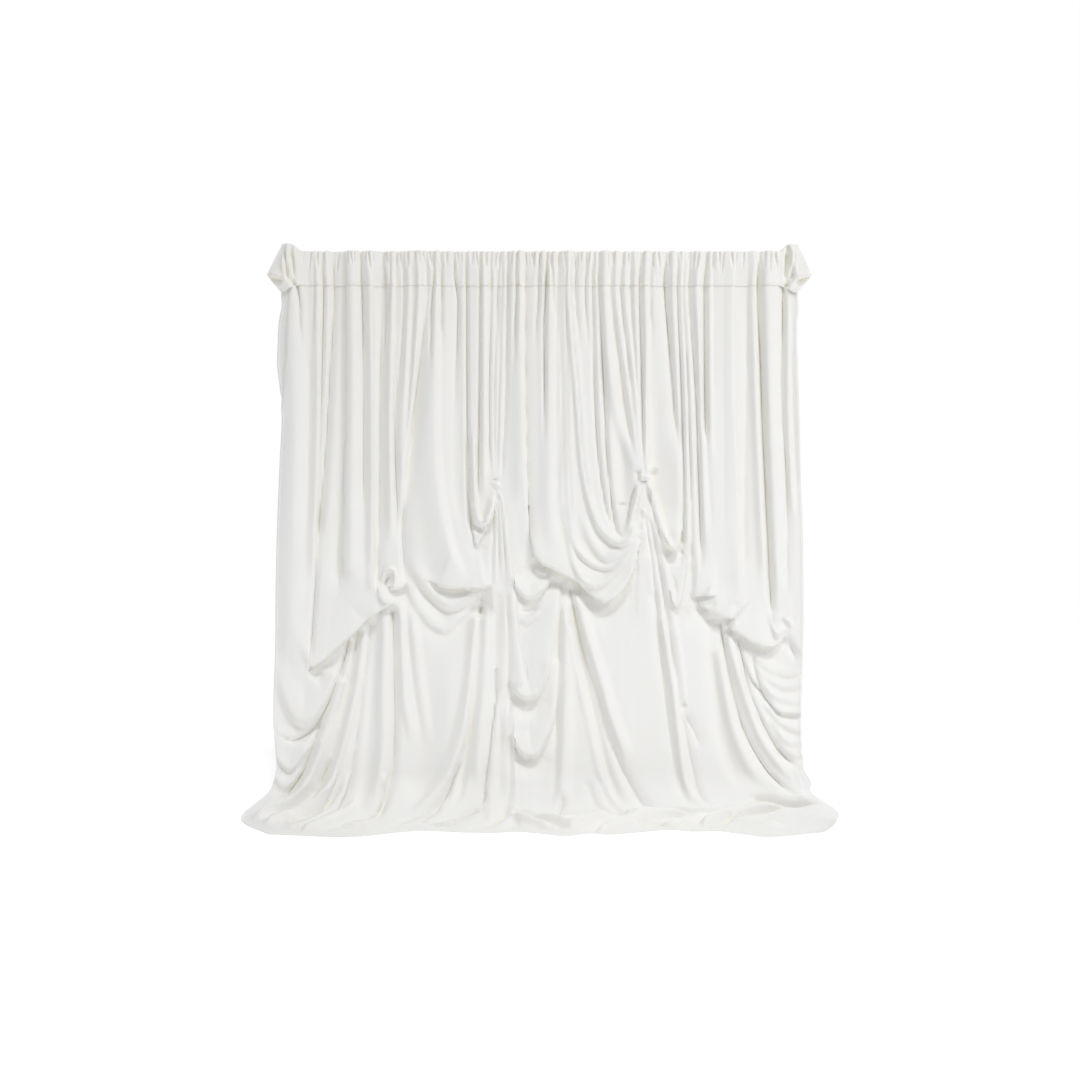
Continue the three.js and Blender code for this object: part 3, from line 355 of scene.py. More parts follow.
RIGHT_SWAGS = (
    ridge(1.2, 0.9, (43.8, 100.6), (45.2, 99.5), (47.2, 99.5), (49, 100.8)),
    trough(0.7, 0.4, (44.2, 102.3), (46.4, 101.5), (48.7, 102.3)),
    trough(0.9, 0.9, (42.6, 96.4), (43.8, 98.2), (43.4, 101)),
    ridge(0.7, 0.8, (48.8, 98.2), (50.2, 95.8), (52, 95.2), (53.6, 96.4)),
    trough(0.8, 0.9, (48.9, 100), (50.4, 98), (52.4, 98)),
    trough(1.0, 0.5, (43.4, 102), (41.6, 107), (40.4, 111.7), (39.4, 118), (37.6, 122.5)),
    ridge(1.6, 1, (44.6, 102), (43, 108.5), (41.6, 114.4), (39.8, 120.5), (37.4, 125)),
    trough(0.6, 0.4, (45.6, 103), (44, 110.5), (42.4, 117.5), (40.4, 123.5)),
    ridge(0.9, 0.8, (46, 113.5), (46.4, 116)),
    trough(0.5, 0.5, (44.9, 116.8), (46.4, 118.4), (47.9, 116.8)),
    ridge(1.7, 1, (48.4, 102), (50.2, 107.5), (51.6, 111.7), (53.4, 118), (55.2, 124.2), (57.6, 129.2),
          (59.6, 131.2), (61.4, 131), (63.2, 124.2)),
    trough(0.8, 0.5, (47.6, 103), (49.2, 109), (50.8, 116), (53, 124), (55.4, 131), (57.2, 135.5)),
    swag(1.2, 5, 2.6, 10, (55.6, 127), (57.6, 130.6), (59.7, 132.3), (61.6, 131.4), (63.2, 126.5),
         (64, 120)),
    trough(0.8, 0.8, (33.4, 112.6), (36, 111.9), (39.2, 112.3)),
    lip(0.4, 4, (46, 118), (45, 125), (44.5, 131), (43.6, 142), (43.1, 154.6), (42.8, 162)),
    trough(0.7, 0.7, (46.9, 117.5), (48.4, 127), (49.9, 137), (51.2, 150), (52.6, 163), (57, 205),
           (61.5, 243)),
    trough(0.7, 0.7, (48.6, 117), (50.6, 126), (53.4, 141), (57, 163.6), (60, 185), (62, 197)),
    roll(1.2, 4, 0.8, 5, (65.2, 202), (64.7, 196.6), (63.7, 187), (61.8, 173.3), (58.9, 155.8),
         (55.9, 138.3), (52.5, 119)),
    trough(0.8, 1, (62.9, 204), (64, 202), (65.8, 200.8)),
    trough(1.0, 1.8, (63.7, 204.5), (68, 212), (72.3, 222)),
    trough(1.0, 1.2, (63.9, 206.5), (68.5, 232), (70.5, 240), (74, 245), (80.5, 247.5)),
    swag(1.2, 6, 2.2, 12, (57.8, 149), (59.2, 155.5), (61.5, 157.9), (63.7, 153), (65.4, 141.5),
         (66.2, 128)),
    swag(1.6, 20, 2.4, 12, (66.5, 152.2), (68.6, 152.6), (74, 152.7), (79.7, 152.9)),
    ridge(0.8, 1, (80, 153.2), (76, 154.5), (70, 156.2)),
    swag(1.6, 16, 2.8, 16, (69.5, 155.4), (70.5, 156.3), (79.3, 161.1), (88, 163.8)),
    ridge(0.5, 1, (88.4, 164.2), (84, 166.3)),
    swag(1.8, 18, 2.8, 16, (83, 165.4), (84.1, 166.5), (90, 170.4), (95.8, 174.2), (101.6, 175.9),
         (105.5, 175.2), (110.4, 170.4)),
    roll(1.4, 10, 1.2, 6, (103.1, 158.5), (104, 166), (106.5, 169.8), (110.7, 166.7)),
    ridge(0.9, 1, (107.6, 163.2), (110, 163.3), (112, 165), (112.9, 168.4)),
    trough(0.8, 1, (110.6, 169.5), (113.5, 179), (114.6, 183.5)),
    soft_roll(0.9, 4, 0.7, 3, (89, 171.5), (92.9, 176.2), (97.7, 181), (103.6, 185.9), (110.4, 187.4),
              (116, 185.6), (120, 182), grow=24),
    soft_roll(0.8, 4, 0.7, 3, (88.6, 172), (91.9, 177.2), (96.8, 184), (102.6, 189.8), (108.4, 193.2),
              (115.2, 192.7), (120, 190), grow=24),
    soft_roll(0.8, 4, 0.7, 3, (88.4, 173), (91.4, 179.1), (95.8, 186.9), (101.6, 193.7), (107.4, 198.5),
              (115.2, 200), (120, 198.5), grow=24),
    swag(1.2, 5, 1.3, 6, (88, 174), (90.9, 181), (94.8, 189.8), (99.7, 196.6), (104.5, 202.4),
         (107.4, 204.9), (112, 205.6), (120, 205.2), grow=24),
    soft_roll(0.8, 4, 0.7, 3, (100, 200), (103.6, 204.5), (109.4, 210.2), (115.7, 212.6), (120, 211)),
    soft_roll(0.7, 4, 0.6, 3, (103, 207), (108, 215), (113, 218.6), (120, 216.5)),
    soft_roll(0.6, 4, 0.6, 3, (105, 214), (110, 221), (115, 224), (120, 222)),
    trough(1.0, 1.2, (95.7, 204.5), (103, 218.5), (113, 228.8), (118.3, 231.5)),
)

# Lower fall: the long folds that sweep out to the pool
LOWER_FALL = (
    trough(2.0, 0.9, (-84.8, 170.5), (-88, 183), (-91.3, 192), (-94.5, 200.6), (-99.9, 210.1),
           (-104.1, 214.6), (-109, 217.3), (-113.7, 216.7), (-120, 213.5)),
    trough(1.6, 0.9, (-96.5, 207), (-99, 213), (-103, 224), (-106, 231), (-111, 238), (-117, 241.5)),
    ridge(1.3, 1.8, (-88, 188), (-93, 204), (-97, 216), (-101, 228), (-107, 239), (-114, 245)),
    dip(1.4, 2, (-79.6, 166), (-84, 192), (-88, 206), (-91, 217), (-95, 229), (-99, 238), (-105, 245)),
    trough(1.2, 0.8, (-93, 225), (-96, 232), (-99.5, 239), (-105, 245), (-113, 248), (-124, 250.7)),
    ridge(1.2, 1.5, (-78.6, 166), (-83.5, 197), (-86, 210), (-89, 222), (-93, 234), (-98.5, 244),
          (-106, 250)),
    dip(0.8, 2.2, (-74, 162), (-75.5, 200), (-77, 225), (-80, 242), (-85, 252)),
    ridge(1.2, 2, (-69.5, 158), (-70, 195), (-70.5, 220), (-73, 238), (-78, 249)),
    trough(1.8, 1, (-66, 156.5), (-65.2, 175), (-65, 195), (-65, 210), (-65.2, 222), (-66, 232),
           (-69, 243), (-72, 250), (-77, 254), (-82, 256), (-89, 258.3), left=1.3),
    ridge(1.0, 1.6, (-62.6, 154), (-61.5, 180), (-60.5, 198), (-58, 212), (-56, 222), left=1.8),
    dip(0.3, 1.2, (-60, 163), (-58, 185), (-55.5, 203), (-53, 216)),
    ridge(0.9, 1.6, (-57.5, 158), (-54.5, 185), (-51.5, 207), (-49.7, 222), left=1.8),
    dip(1.4, 6, (-49, 170), (-50, 185), (-52, 212), (-55, 234), (-60, 246), grow=40),
    trough(1.0, 0.9, (-81, 167), (-82, 173.6), (-84, 181.7), (-86.6, 190.8), (-89.6, 201), (-93, 213)),
    trough(1.1, 0.9, (-75.4, 162.5), (-76.2, 170), (-78, 185.5), (-80, 202.7), (-82.5, 220), (-86, 238),
           (-89, 244.5), (-94, 251.5), (-101, 255.5), (-110, 258.5), (-118, 260)),
    ridge(2.0, 3, (-27.2, 160), (-29.5, 188), (-33, 208), (-38, 225), (-45, 239), (-53, 249), (-62, 254),
          left=2),
    dip(1.6, 1.5, (-26, 155), (-27.5, 175), (-29.8, 197), (-31.5, 213), (-33.7, 228), (-36, 240),
        (-40, 248)),
    trough(1.5, 0.9, (-69, 257.7), (-57, 255.2), (-50, 251), (-45.5, 247), (-42.5, 242)),
    trough(1.3, 0.8, (-59, 255.2), (-47, 255.3), (-41, 254.7), (-35, 252.5), (-30, 248), (-27, 243),
           (-24.5, 235)),
    ridge(1.2, 1.8, (-24, 160), (-25, 190), (-26.5, 210), (-28, 228), (-29, 240)),
    trough(1.1, 0.7, (-19, 150), (-19.3, 175), (-20, 195), (-20.6, 205), (-22, 220), (-23.5, 232),
           (-24.7, 240), (-25.5, 247), (-25, 252), (-23.8, 257)),
    trough(0.8, 0.8, (-23.3, 228), (-24.5, 237), (-25.3, 247)),
    dip(0.8, 1.2, (-17.5, 150), (-18.5, 195), (-18, 215), (-18, 235), (-17.5, 247)),
    trough(0.9, 0.6, (-14.5, 150), (-14, 185), (-13.5, 205), (-13, 225), (-13.2, 240), (-15, 250),
           (-18, 254), (-25, 257)),
    trough(0.9, 1.0, (9.8, 143), (9.5, 150), (8.8, 165), (8.3, 185), (7.6, 205), (7.6, 224)),
    ridge(1.4, 2, (11.5, 155), (11.3, 190), (10.5, 225), (9.3, 245), (6, 252), left=3),
    dip(1.4, 2, (14, 155), (17.5, 175), (21.5, 196), (25, 212), (29, 228), (34, 241), (40, 249)),
    ridge(0.9, 1.6, (14.5, 165), (18, 190), (22, 207), (26.5, 228), (30.5, 243)),
    trough(0.9, 0.7, (21, 235), (23, 242), (26.5, 248), (34, 253.3)),
    trough(0.9, 0.7, (26, 233), (29, 241), (32, 246.5), (37, 251.5), (48, 252.3)),
    trough(1.4, 1.8, (12.8, 146.5), (17, 168), (21, 183), (25, 195), (28, 207), (31, 217), (36, 229),
           (42, 240), (48, 247), (59, 250.4), left=1.5),
    ridge(1.3, 1.4, (14.6, 150), (20, 168), (26, 187), (30.5, 203), (35.5, 217), (40.5, 229), left=2.6),
    dip(0.8, 1.6, (50.5, 150), (53.5, 178), (56.3, 195), (58, 210), (60, 225), (62, 237), (66, 245),
        (73, 249.3)),
    ridge(1.0, 1.2, (54, 160), (57.5, 180), (60.3, 200), (62.5, 220), (65.5, 238), (70, 246)),
    dip(1.1, 3, (75.9, 160), (78.5, 190), (80, 210), (83, 222), (87, 232), (92, 240)),
    ridge(1.2, 2, (79, 175), (83, 198), (88, 216), (95, 231), (103, 240)),
    trough(1.7, 1, (79.9, 162), (83, 180), (86, 195), (89, 207), (93, 217), (98, 226), (104, 234),
           (110, 239), (118, 241.8)),
    ridge(1.3, 1.7, (83.5, 168), (88.5, 187), (93.5, 203), (99, 216), (106, 227), (114, 236)),
    trough(1.3, 0.8, (87.8, 169.5), (90.5, 182), (93.5, 195), (98, 206), (103, 216), (109, 224),
           (118, 231.5)),
    trough(1.3, 0.8, (95, 178), (96.5, 188), (100, 196), (104, 202), (108.5, 206)),
)

# Pool: the loose cloth on the floor. Half-widths there run forward over the floor.
POOL_FOLDS = (
    trough(2.1, 1.2, (-32, 258.3), (-24, 256.8), (-17, 252), (-14.5, 246)),
    trough(1.8, 1.1, (-16, 258.4), (-12, 256.5), (-10.8, 252)),
    trough(2.4, 1.4, (-11, 249.5), (-5, 253), (0, 255.5), (14.5, 258.2)),
    trough(1.8, 1.1, (2, 253), (7, 251), (9.6, 247), (10.6, 240)),
    ridge(1.8, 1.6, (-13, 251.5), (-8, 254), (-1, 256), (9, 258.4)),
    ridge(1.4, 1.3, (-6, 252.4), (2, 254.4), (11, 256.2), (16, 258.4)),
    trough(1.5, 1.1, (11, 255.3), (18, 254), (24.5, 252)),
    trough(1.8, 1.1, (23, 258.6), (31, 255.5), (36, 252.7)),
    ridge(1.8, 1.6, (12, 257.4), (18, 256.2), (26, 254.5), (34, 251.8)),
    ridge(1.4, 1.3, (24, 258.8), (33, 256.6), (44, 254.6), (54, 254)),
    trough(1.8, 1.2, (42, 255.4), (55, 256.5), (63, 258)),
    ridge(1.8, 1.5, (36, 253.2), (46, 253.5), (58, 253.2), (68, 252.2), (77, 251.4)),
    ridge(1.4, 1.3, (52, 257), (62, 255.6), (70, 254.2), (80, 252.6)),
    trough(1.8, 1, (58.5, 255), (65, 254), (70.5, 253.3)),
    trough(2.4, 1.2, (57, 250.2), (66, 251.3), (77, 251.4)),
    trough(2.1, 1.1, (74.5, 258), (80, 256.3), (85.5, 253.3), (91, 249.5)),
    ridge(2.0, 1.6, (72, 256.8), (78, 254.7), (84, 251.8), (88, 249.3)),
    ridge(1.2, 1.4, (84, 254.4), (92, 256), (101, 257), (112, 257.2)),
    trough(2.0, 1.1, (83.5, 252.7), (90, 255), (96, 256), (105, 256.6)),
    trough(2.0, 1.1, (92, 253.7), (100, 250), (106, 247), (112, 244.3)),
    trough(2.7, 1.2, (93.5, 243.2), (102, 243.7), (110, 245), (116, 245.5), (128, 243.4)),
    trough(1.6, 0.9, (-98.3, 218), (-103.9, 229.2), (-110.9, 238.3), (-119.2, 245.3), (-127.6, 250.2)),
    trough(1.2, 0.9, (-99.5, 237.5), (-105.3, 243.2), (-117.8, 250.2), (-127.6, 254.4)),
    trough(1.3, 0.9, (-88, 236.5), (-95.5, 246), (-106.7, 253), (-117.8, 257.2)),
    trough(1.6, 0.9, (-69.6, 236.1), (-71.7, 246), (-78.7, 253), (-91.3, 257.2), (-99.7, 259.7)),
    trough(1.6, 0.9, (-35.4, 226.3), (-41, 240.3), (-49.4, 248.7), (-60.6, 255), (-69, 257.8)),
    trough(1.4, 0.9, (-24.9, 240.3), (-28.4, 247.3), (-38.2, 252.9), (-49.4, 256.4)),
    ridge(1.6, 1.6, (-129, 252.6), (-117.5, 247.8), (-107.5, 241), (-100, 230)),
    ridge(1.6, 1.6, (-124, 256), (-112, 252), (-100.5, 245.6), (-92, 233.5)),
    ridge(1.4, 1.5, (-108, 258.4), (-96, 254.6), (-85.5, 249), (-80, 238)),
    floor_lip((-114.8, 255.3), (-105.6, 252.2), (-97.9, 247.6), (-93.2, 239.9), (-90.2, 230.6)),
    floor_lip((-113.3, 259.1), (-101, 255.3), (-93.2, 250.6), (-87, 241.4), (-84, 230.6)),
    floor_lip((-89, 258.3), (-80, 255.4), (-73.5, 249.5), (-69.5, 241), (-67.5, 231)),
    floor_lip((-64, 257.1), (-54.7, 254.5), (-47, 249.1), (-40.8, 239.9), (-37.8, 230.6)),
    floor_lip((-50, 256), (-40.8, 256), (-33.1, 253), (-27, 247.6), (-23.9, 239.9)),
    trough(1.4, 0.9, (-10, 250.4), (0, 252.4), (12, 251.2), (24, 252), (36, 251.2), (46, 250)),
    trough(1.4, 0.9, (46, 248.6), (57, 250.6), (68, 250.8), (78, 249.6), (88, 246.8)),
    floor_lip((86.9, 253.7), (97.7, 249.1), (111.6, 245.3), (120.9, 242.9)),
)

# Ears: the folds where the pocket's ends stand out past the rod
EAR_FOLDS = (
    trough(1.2, 0.5, (-109.9, -1), (-109.5, 6), (-109.2, 13)),
    ridge(0.9, 0.9, (-112, -4.4), (-111.6, 2), (-111.3, 8), (-111.2, 15.5)),
    trough(0.6, 0.4, (-112.9, -3), (-112.7, 4), (-112.3, 10), (-112, 16)),
    ridge(0.6, 0.7, (-113.9, 0), (-113.6, 8), (-113, 15)),
    swag(1.0, 3, 1.4, 4, (-121.6, 10.3), (-117, 11.3), (-113.2, 12)),
    trough(1.2, 0.5, (109.6, -1), (109.4, 6), (109.4, 13)),
    ridge(0.9, 0.9, (112, -4.4), (111.6, 2), (111.3, 8), (111.4, 15.5)),
    trough(0.6, 0.4, (113, -3), (112.7, 4), (112.4, 10), (112.2, 16)),
    swag(1.0, 3, 1.4, 4, (113.2, 12.3), (117, 11.3), (121.4, 10.1)),
)

# Lengthwise threads of the cloth: how far across each lies at every drop in THREAD_DROPS, and at its hem
THREAD_DROPS = (14, 40, 70, 100, 125, 150, 180, 210, 230, 240, 250)
INNER_THREADS = (
    (-96.9, -97.2, -97.8, -98.6, -99.4, -100.6, -102.6, -105, -110, -114, -121, -109),
    (-87, -86.9, -86.9, -87.2, -88.3, -90, -92, -95, -99, -102, -108, -97),
    (-73.9, -74.2, -74.2, -74.2, -73.9, -73.6, -76.5, -79, -84, -87, -91, -82),
    (-61, -61.8, -65, -64.6, -63.4, -65, -65.5, -64.9, -66.3, -68.4, -72.5, -70),
    (-50.5, -52.7, -56.5, -60, -61.4, -58, -55.6, -53.5, -53.5, -54.6, -58, -56),
    (-44, -45, -45.4, -46, -43, -45, -44.5, -43.5, -44, -45.6, -49, -46),
    (-32.4, -32.3, -32.2, -32, -31, -30, -31.3, -33, -35, -37, -40, -36),
    (-22, -22.5, -22.9, -21.4, -20.5, -21.4, -21.8, -21, -23.3, -25, -29, -26),
    (-14.3, -15.5, -16.8, -17, -14.3, -11, -9, -11, -10.3, -10, -10, -12),
    (2.6, 2.3, 1.9, 0.6, -1.5, -1, 0, 1, 2, 2, 2, 2),
    (11.3, 11.6, 11.8, 12.3, 13, 11, 9.5, 9, 9.5, 10, 11, 13),
    (26.4, 27.2, 28.6, 30.8, 32, 29, 28, 31, 35, 38, 42, 28),
    (38, 40.5, 42.7, 44.9, 44.3, 43.5, 42.3, 43, 45, 47.5, 52, 43),
    (44.7, 45.2, 45.8, 46.3, 47.5, 50.4, 53.8, 57.3, 60, 61.5, 64, 58),
    (51.5, 51.2, 50, 48, 51.5, 56.5, 60.5, 64.5, 68.3, 70.8, 74, 66),
    (61.5, 62.5, 63.5, 64.5, 63.8, 66, 68.5, 72, 76, 78, 81, 74),
    (73.7, 73.7, 73.7, 75.5, 77.3, 79.5, 83.5, 90, 96.5, 100, 104, 92),
    (87, 87, 87.3, 88.6, 89.6, 90.4, 93, 101, 106.5, 110, 115, 106),
    (97.6, 98, 99, 100.2, 101.5, 102.7, 103.5, 109, 112.5, 116, 123, 117),
)
LEFT_BORDER = (
    (-115.2, 14), (-115.4, 20), (-115.1, 23), (-116.3, 28), (-117.3, 42), (-117.5, 50), (-116.8, 56),
    (-115.7, 65), (-116.5, 95), (-117.5, 120), (-118.1, 145), (-118.4, 175), (-119, 212), (-118.4, 220),
    (-118.6, 234), (-121.5, 240), (-127, 244), (-132, 247.5), (-133.6, 250.5), (-132, 255), (-122, 259.4),
)
RIGHT_BORDER = (
    (115, 14), (115.5, 25), (115, 30), (115.3, 50), (115.8, 65), (116.5, 95), (117.6, 130), (117.8, 170),
    (117.6, 225), (118.2, 231), (121.5, 236.3), (121.3, 240), (126.5, 243), (132.5, 246.5), (132.8, 252),
    (131, 256), (127.5, 258.5),
)
HEM_LINE = (
    (-134, 259.3), (-122, 259.6), (-105, 260.3), (-89, 260.9), (-78, 260.4), (-67, 259.2), (-52, 258.0),
    (-40, 258.5), (-21, 259.0), (-11, 258.5), (1, 259.3), (12, 260.4), (22, 259.2), (31, 259.7), (45, 258.7),
    (59, 257.6), (69, 258.4), (78, 258.1), (91, 259.6), (101, 260.8), (113, 260.1), (127, 258.6), (134, 258),
)

# All strokes of the panel
PANEL_STROKES = (
    *ROD_CREASES, *LEFT_FALL, *MIDDLE_FALL, *RIGHT_FALL,
    *LEFT_SWAGS, *CENTRE_SWAGS, *RIGHT_SWAGS, *LOWER_FALL, *POOL_FOLDS,
)


def ease(share: Array) -> Array:
    """Eased step: 0 up to 0, 1 from 1, three shares squared less two shares cubed between."""
    held = np.clip(share, 0.0, 1.0)
    return held * held * (3.0 - 2.0 * held)


def curve_through(levels: Sequence[float], values: Sequence[float], at: Array) -> Array:
    """Cubic between neighbouring values, with each slope taken from the values on both sides.

    Args:
        levels: Rising levels of the known values.
        values: The known values.
        at: Levels to work out.

    Returns:
        The curve's values, flat beyond both ends.
    """
    known = np.asarray(levels, float)
    height = np.asarray(values, float)
    slope = np.gradient(height, known)
    held = np.clip(at, known[0], known[-1])
    i = np.clip(np.searchsorted(known, held, side="right") - 1, 0, len(known) - 2)
    span = known[i + 1] - known[i]
    t = (held - known[i]) / span
    rest = 1.0 - t
    ends = height[i] * (1 + 2 * t) * rest**2 + height[i + 1] * t**2 * (3 - 2 * t)
    return ends + span * (slope[i] * t * rest**2 - slope[i + 1] * t**2 * rest)


def blurred(values: Array, passes: int) -> Array:
    """Averages a grid with its neighbours along both axes, a quarter from each side, several times.

    Args:
        values: The grid.
        passes: How many times.

    Returns:
        The softened grid.
    """
    result = values.copy()
    for _ in range(passes):
        for axis in (0, 1):
            lanes = np.moveaxis(result, axis, 0)
            padded = np.concatenate([lanes[:1], lanes, lanes[-1:]])
            result = np.moveaxis(0.25 * padded[:-2] + 0.5 * padded[1:-1] + 0.25 * padded[2:], 0, axis)
    return result


def soft_noise(rng: np.random.Generator, shape: tuple[int, int], cells: tuple[int, int]) -> Array:
    """Smooth noise between -1 and 1: random values on a coarse grid, joined by eased steps.

    Args:
        rng: Seeded generator.
        shape: Size of the grid to fill.
        cells: How many coarse cells lie along each axis.

    Returns:
        The noise over the grid.
    """
    knots = rng.uniform(-1.0, 1.0, (cells[0] + 1, cells[1] + 1))
    u = np.linspace(0.0, cells[0], shape[0])
    v = np.linspace(0.0, cells[1], shape[1])
    i = np.minimum(u.astype(int), cells[0] - 1)
    j = np.minimum(v.astype(int), cells[1] - 1)
    s = ease(u - i)[:, None]
    t = ease(v - j)[None, :]
    upper = knots[i][:, j] * (1 - t) + knots[i][:, j + 1] * t
    lower = knots[i + 1][:, j] * (1 - t) + knots[i + 1][:, j + 1] * t
    return upper * (1 - s) + lower * s


def turned_along(heading: Array) -> Triple:
    """Turns about X, Y and Z that point a light's -Z axis along a direction."""
    x, y, z = heading / np.linalg.norm(heading)
    return float(np.arccos(-z)), 0.0, float(np.arctan2(-x, y))


@dataclass(frozen=True)
class PaintedCreaseShade:
    """Painted shade in the creases: darker, warmer colour by how deep a place lies and how much heights vary
    round it.

    Attributes:
        full: Mean variation of the heights that counts as fully creased.
        near: Passes of blurring that give the height round a place.
        around: Passes of blurring that spread the variation.
        deep_share: What the depth below its surroundings counts.
        crowd_share: What the variation counts.
    """

    full: float
    near: int = 10
    around: int = 30
    deep_share: float = 0.3
    crowd_share: float = 0.1

    def over(self, rise: Array) -> Array:
        """Painted crease shade over a whole grid.

        Args:
            rise: Heights over the grid.

        Returns:
            Shares of painted shade, from 0 to 1.
        """
        below = blurred(rise, self.near) - rise
        dense = blurred(np.abs(below), self.around)
        creased = self.deep_share * np.maximum(below, 0.0) + self.crowd_share * dense
        return np.clip(creased / self.full, 0.0, 1.0)


@dataclass(frozen=True)
class Gathers:
    """Narrow tucks that the rod draws into the pocket.

    Attributes:
        count: How many there are.
        end: How far out from the middle they go.
        seed: Of their places and sizes.
        jitter, lean: How far each may lie from its even place, and lean across up to the rod.
        half, dip: Least and greatest half-width, and depth.
        height: Least and greatest height of the deepest place, as a share of the pocket's height.
        hold, loss: Strength at that place, 1 at most, and what it loses over the pocket's height.
        skirt, skirt_reach: Share of the depth in the hollow round each, and half-widths it reaches.
        deepest: Depth that crowded tucks come close to.
        bulge: How far the cloth between them stands out.
    """

    count: int = 96
    end: float = 104.0
    seed: int = 11
    jitter: float = 1.4
    lean: float = 2.2
    half: tuple[float, float] = (0.35, 0.75)
    dip: tuple[float, float] = (0.5, 1.8)
    height: tuple[float, float] = (0.8, 1.1)
    hold: float = 1.1
    loss: float = 2.4
    skirt: float = 0.4
    skirt_reach: float = 2.6
    deepest: float = 1.8
    bulge: float = 0.3

    def depth(self, across: Array, up: Array) -> Array:
        """Depth of the tucks.

        Each is an eased dip with a broad skirt, at a jittered place, leaning a little to one side
        and deepest at a height of its own. A hyperbolic tangent holds their sum back.

        Args:
            across: Places across.
            up: Shares of the pocket's height above the seam, one a row.

        Returns:
            Depths in centimetres, rows by columns.
        """
        rng = np.random.default_rng(self.seed)
        even = np.linspace(-self.end, self.end, self.count)
        centre = even + rng.uniform(-self.jitter, self.jitter, self.count)
        lean = rng.uniform(-self.lean, self.lean, self.count)
        limits = (self.half, self.dip, self.height)
        half, deep, height = (rng.uniform(*pair, self.count) for pair in limits)
        rows = up[:, None, None]
        gap = np.abs(across[None, :, None] - centre - lean * (rows - 1.0)) / half
        hold = np.clip(self.hold - self.loss * np.abs(rows - height), 0.0, 1.0)
        shape = 1.0 - ease(gap) + self.skirt * np.clip(1.0 - gap / self.skirt_reach, 0.0, 1.0) ** 2
        crowded = (deep * hold * shape).sum(axis=-1)
        return self.deepest * np.tanh(crowded / self.deepest) - self.bulge


@dataclass(frozen=True)
class SideView:
    """Side of the plain hung cloth: straight down, leaning forward, then turning onto the floor.

    Attributes:
        lean: How far the cloth has come forward where the turn starts.
        lean_start: Drop where it starts to come forward.
        lean_power: Power of the drop by which it does.
        turn_start: Drop where the turn onto the floor starts.
        turn_end: Drop where the cloth lies flat.
        turn_length: Length of the cloth in the turn.
        start_pull: How far forward and down the curve of the turn is pulled at its start.
        end_pull: How far back it is pulled at its end.
    """

    lean: float = 8.5
    lean_start: float = 70.0
    lean_power: float = 1.5
    turn_start: float = 232.0
    turn_end: float = 254.0
    turn_length: float = 25.0
    start_pull: tuple[float, float] = (0.7, 6.0)
    end_pull: float = 10.0

    def _fall(self, drop: Array) -> tuple[Array, Array]:
        """Hanging cloth: depth by a power of the drop, and height on the line of sight.

        Args:
            drop: Drops as seen.

        Returns:
            Depth and height.
        """
        share = np.maximum(0.0, (drop - self.lean_start) / (self.turn_start - self.lean_start))
        depth = -self.lean * share**self.lean_power
        height = -SIGHT_DROP - (drop - SIGHT_DROP) * (1 + depth / SIGHT_DISTANCE)
        return depth, height

    def _floor(self, drop: Array) -> Array:
        """Depth where the line of sight meets the floor."""
        below = np.maximum(drop - SIGHT_DROP, 1.0)
        return -SIGHT_DISTANCE * (1 - (FLOOR_DROP - SIGHT_DROP) / below)

    def _end_depth(self) -> float:
        """Depth where the turn ends."""
        return float(self._floor(np.array(self.turn_end)))

    def turned(self, drop: Array) -> Array:
        """Share of the turn onto the floor at a drop, from 0 to 1."""
        return np.clip((drop - self.turn_start) / (self.turn_end - self.turn_start), 0.0, 1.0)

    def outline(self, drop: Array) -> tuple[Array, Array]:
        """Depth and height of the plain cloth.

        Args:
            drop: Drops as seen.

        Returns:
            Depth, negative towards the front, and height below the rod line, in centimetres.
            Between the fall and the floor both follow a cubic curve with a pull at each end.
        """
        depth, height = self._fall(drop)
        floor = self._floor(drop)
        start_depth, start_height = (float(v) for v in self._fall(np.array(self.turn_start)))
        end_depth = self._end_depth()
        forward, down = self.start_pull
        t = self.turned(drop)
        weights = ((1 - t) ** 3, 3 * t * (1 - t) ** 2, 3 * t**2 * (1 - t), t**3)
        turn_depths = (start_depth, start_depth - forward, end_depth + self.end_pull, end_depth)
        turn_heights = (start_height, start_height - down, -FLOOR_DROP, -FLOOR_DROP)
        turn_depth = sum(w * d for w, d in zip(weights, turn_depths))
        turn_height = sum(w * h for w, h in zip(weights, turn_heights))
        hanging = drop <= self.turn_start
        lying = drop >= self.turn_end
        depth = np.where(hanging, depth, np.where(lying, floor, turn_depth))
        height = np.where(hanging, height, np.where(lying, -FLOOR_DROP, turn_height))
        return depth, height

    def on_cloth(self, across: Array, drop: Array, floor_share: float = 1.0) -> tuple[Array, Array]:
        """Real centimetres across, and along the cloth from the rod, of places as seen.

        Args:
            across: Places across, as seen.
            drop: Drops, as seen.
            floor_share: How much of the length over the floor counts.

        Returns:
            The distances across and along.
        """
        depth, _ = self.outline(drop)
        forward = np.where(drop > self.turn_end, self._end_depth() - depth, 0.0)
        hung = np.minimum(drop, self.turn_start)
        along = hung + self.turned(drop) * self.turn_length + floor_share * forward
        return across * (1 + depth / SIGHT_DISTANCE), along


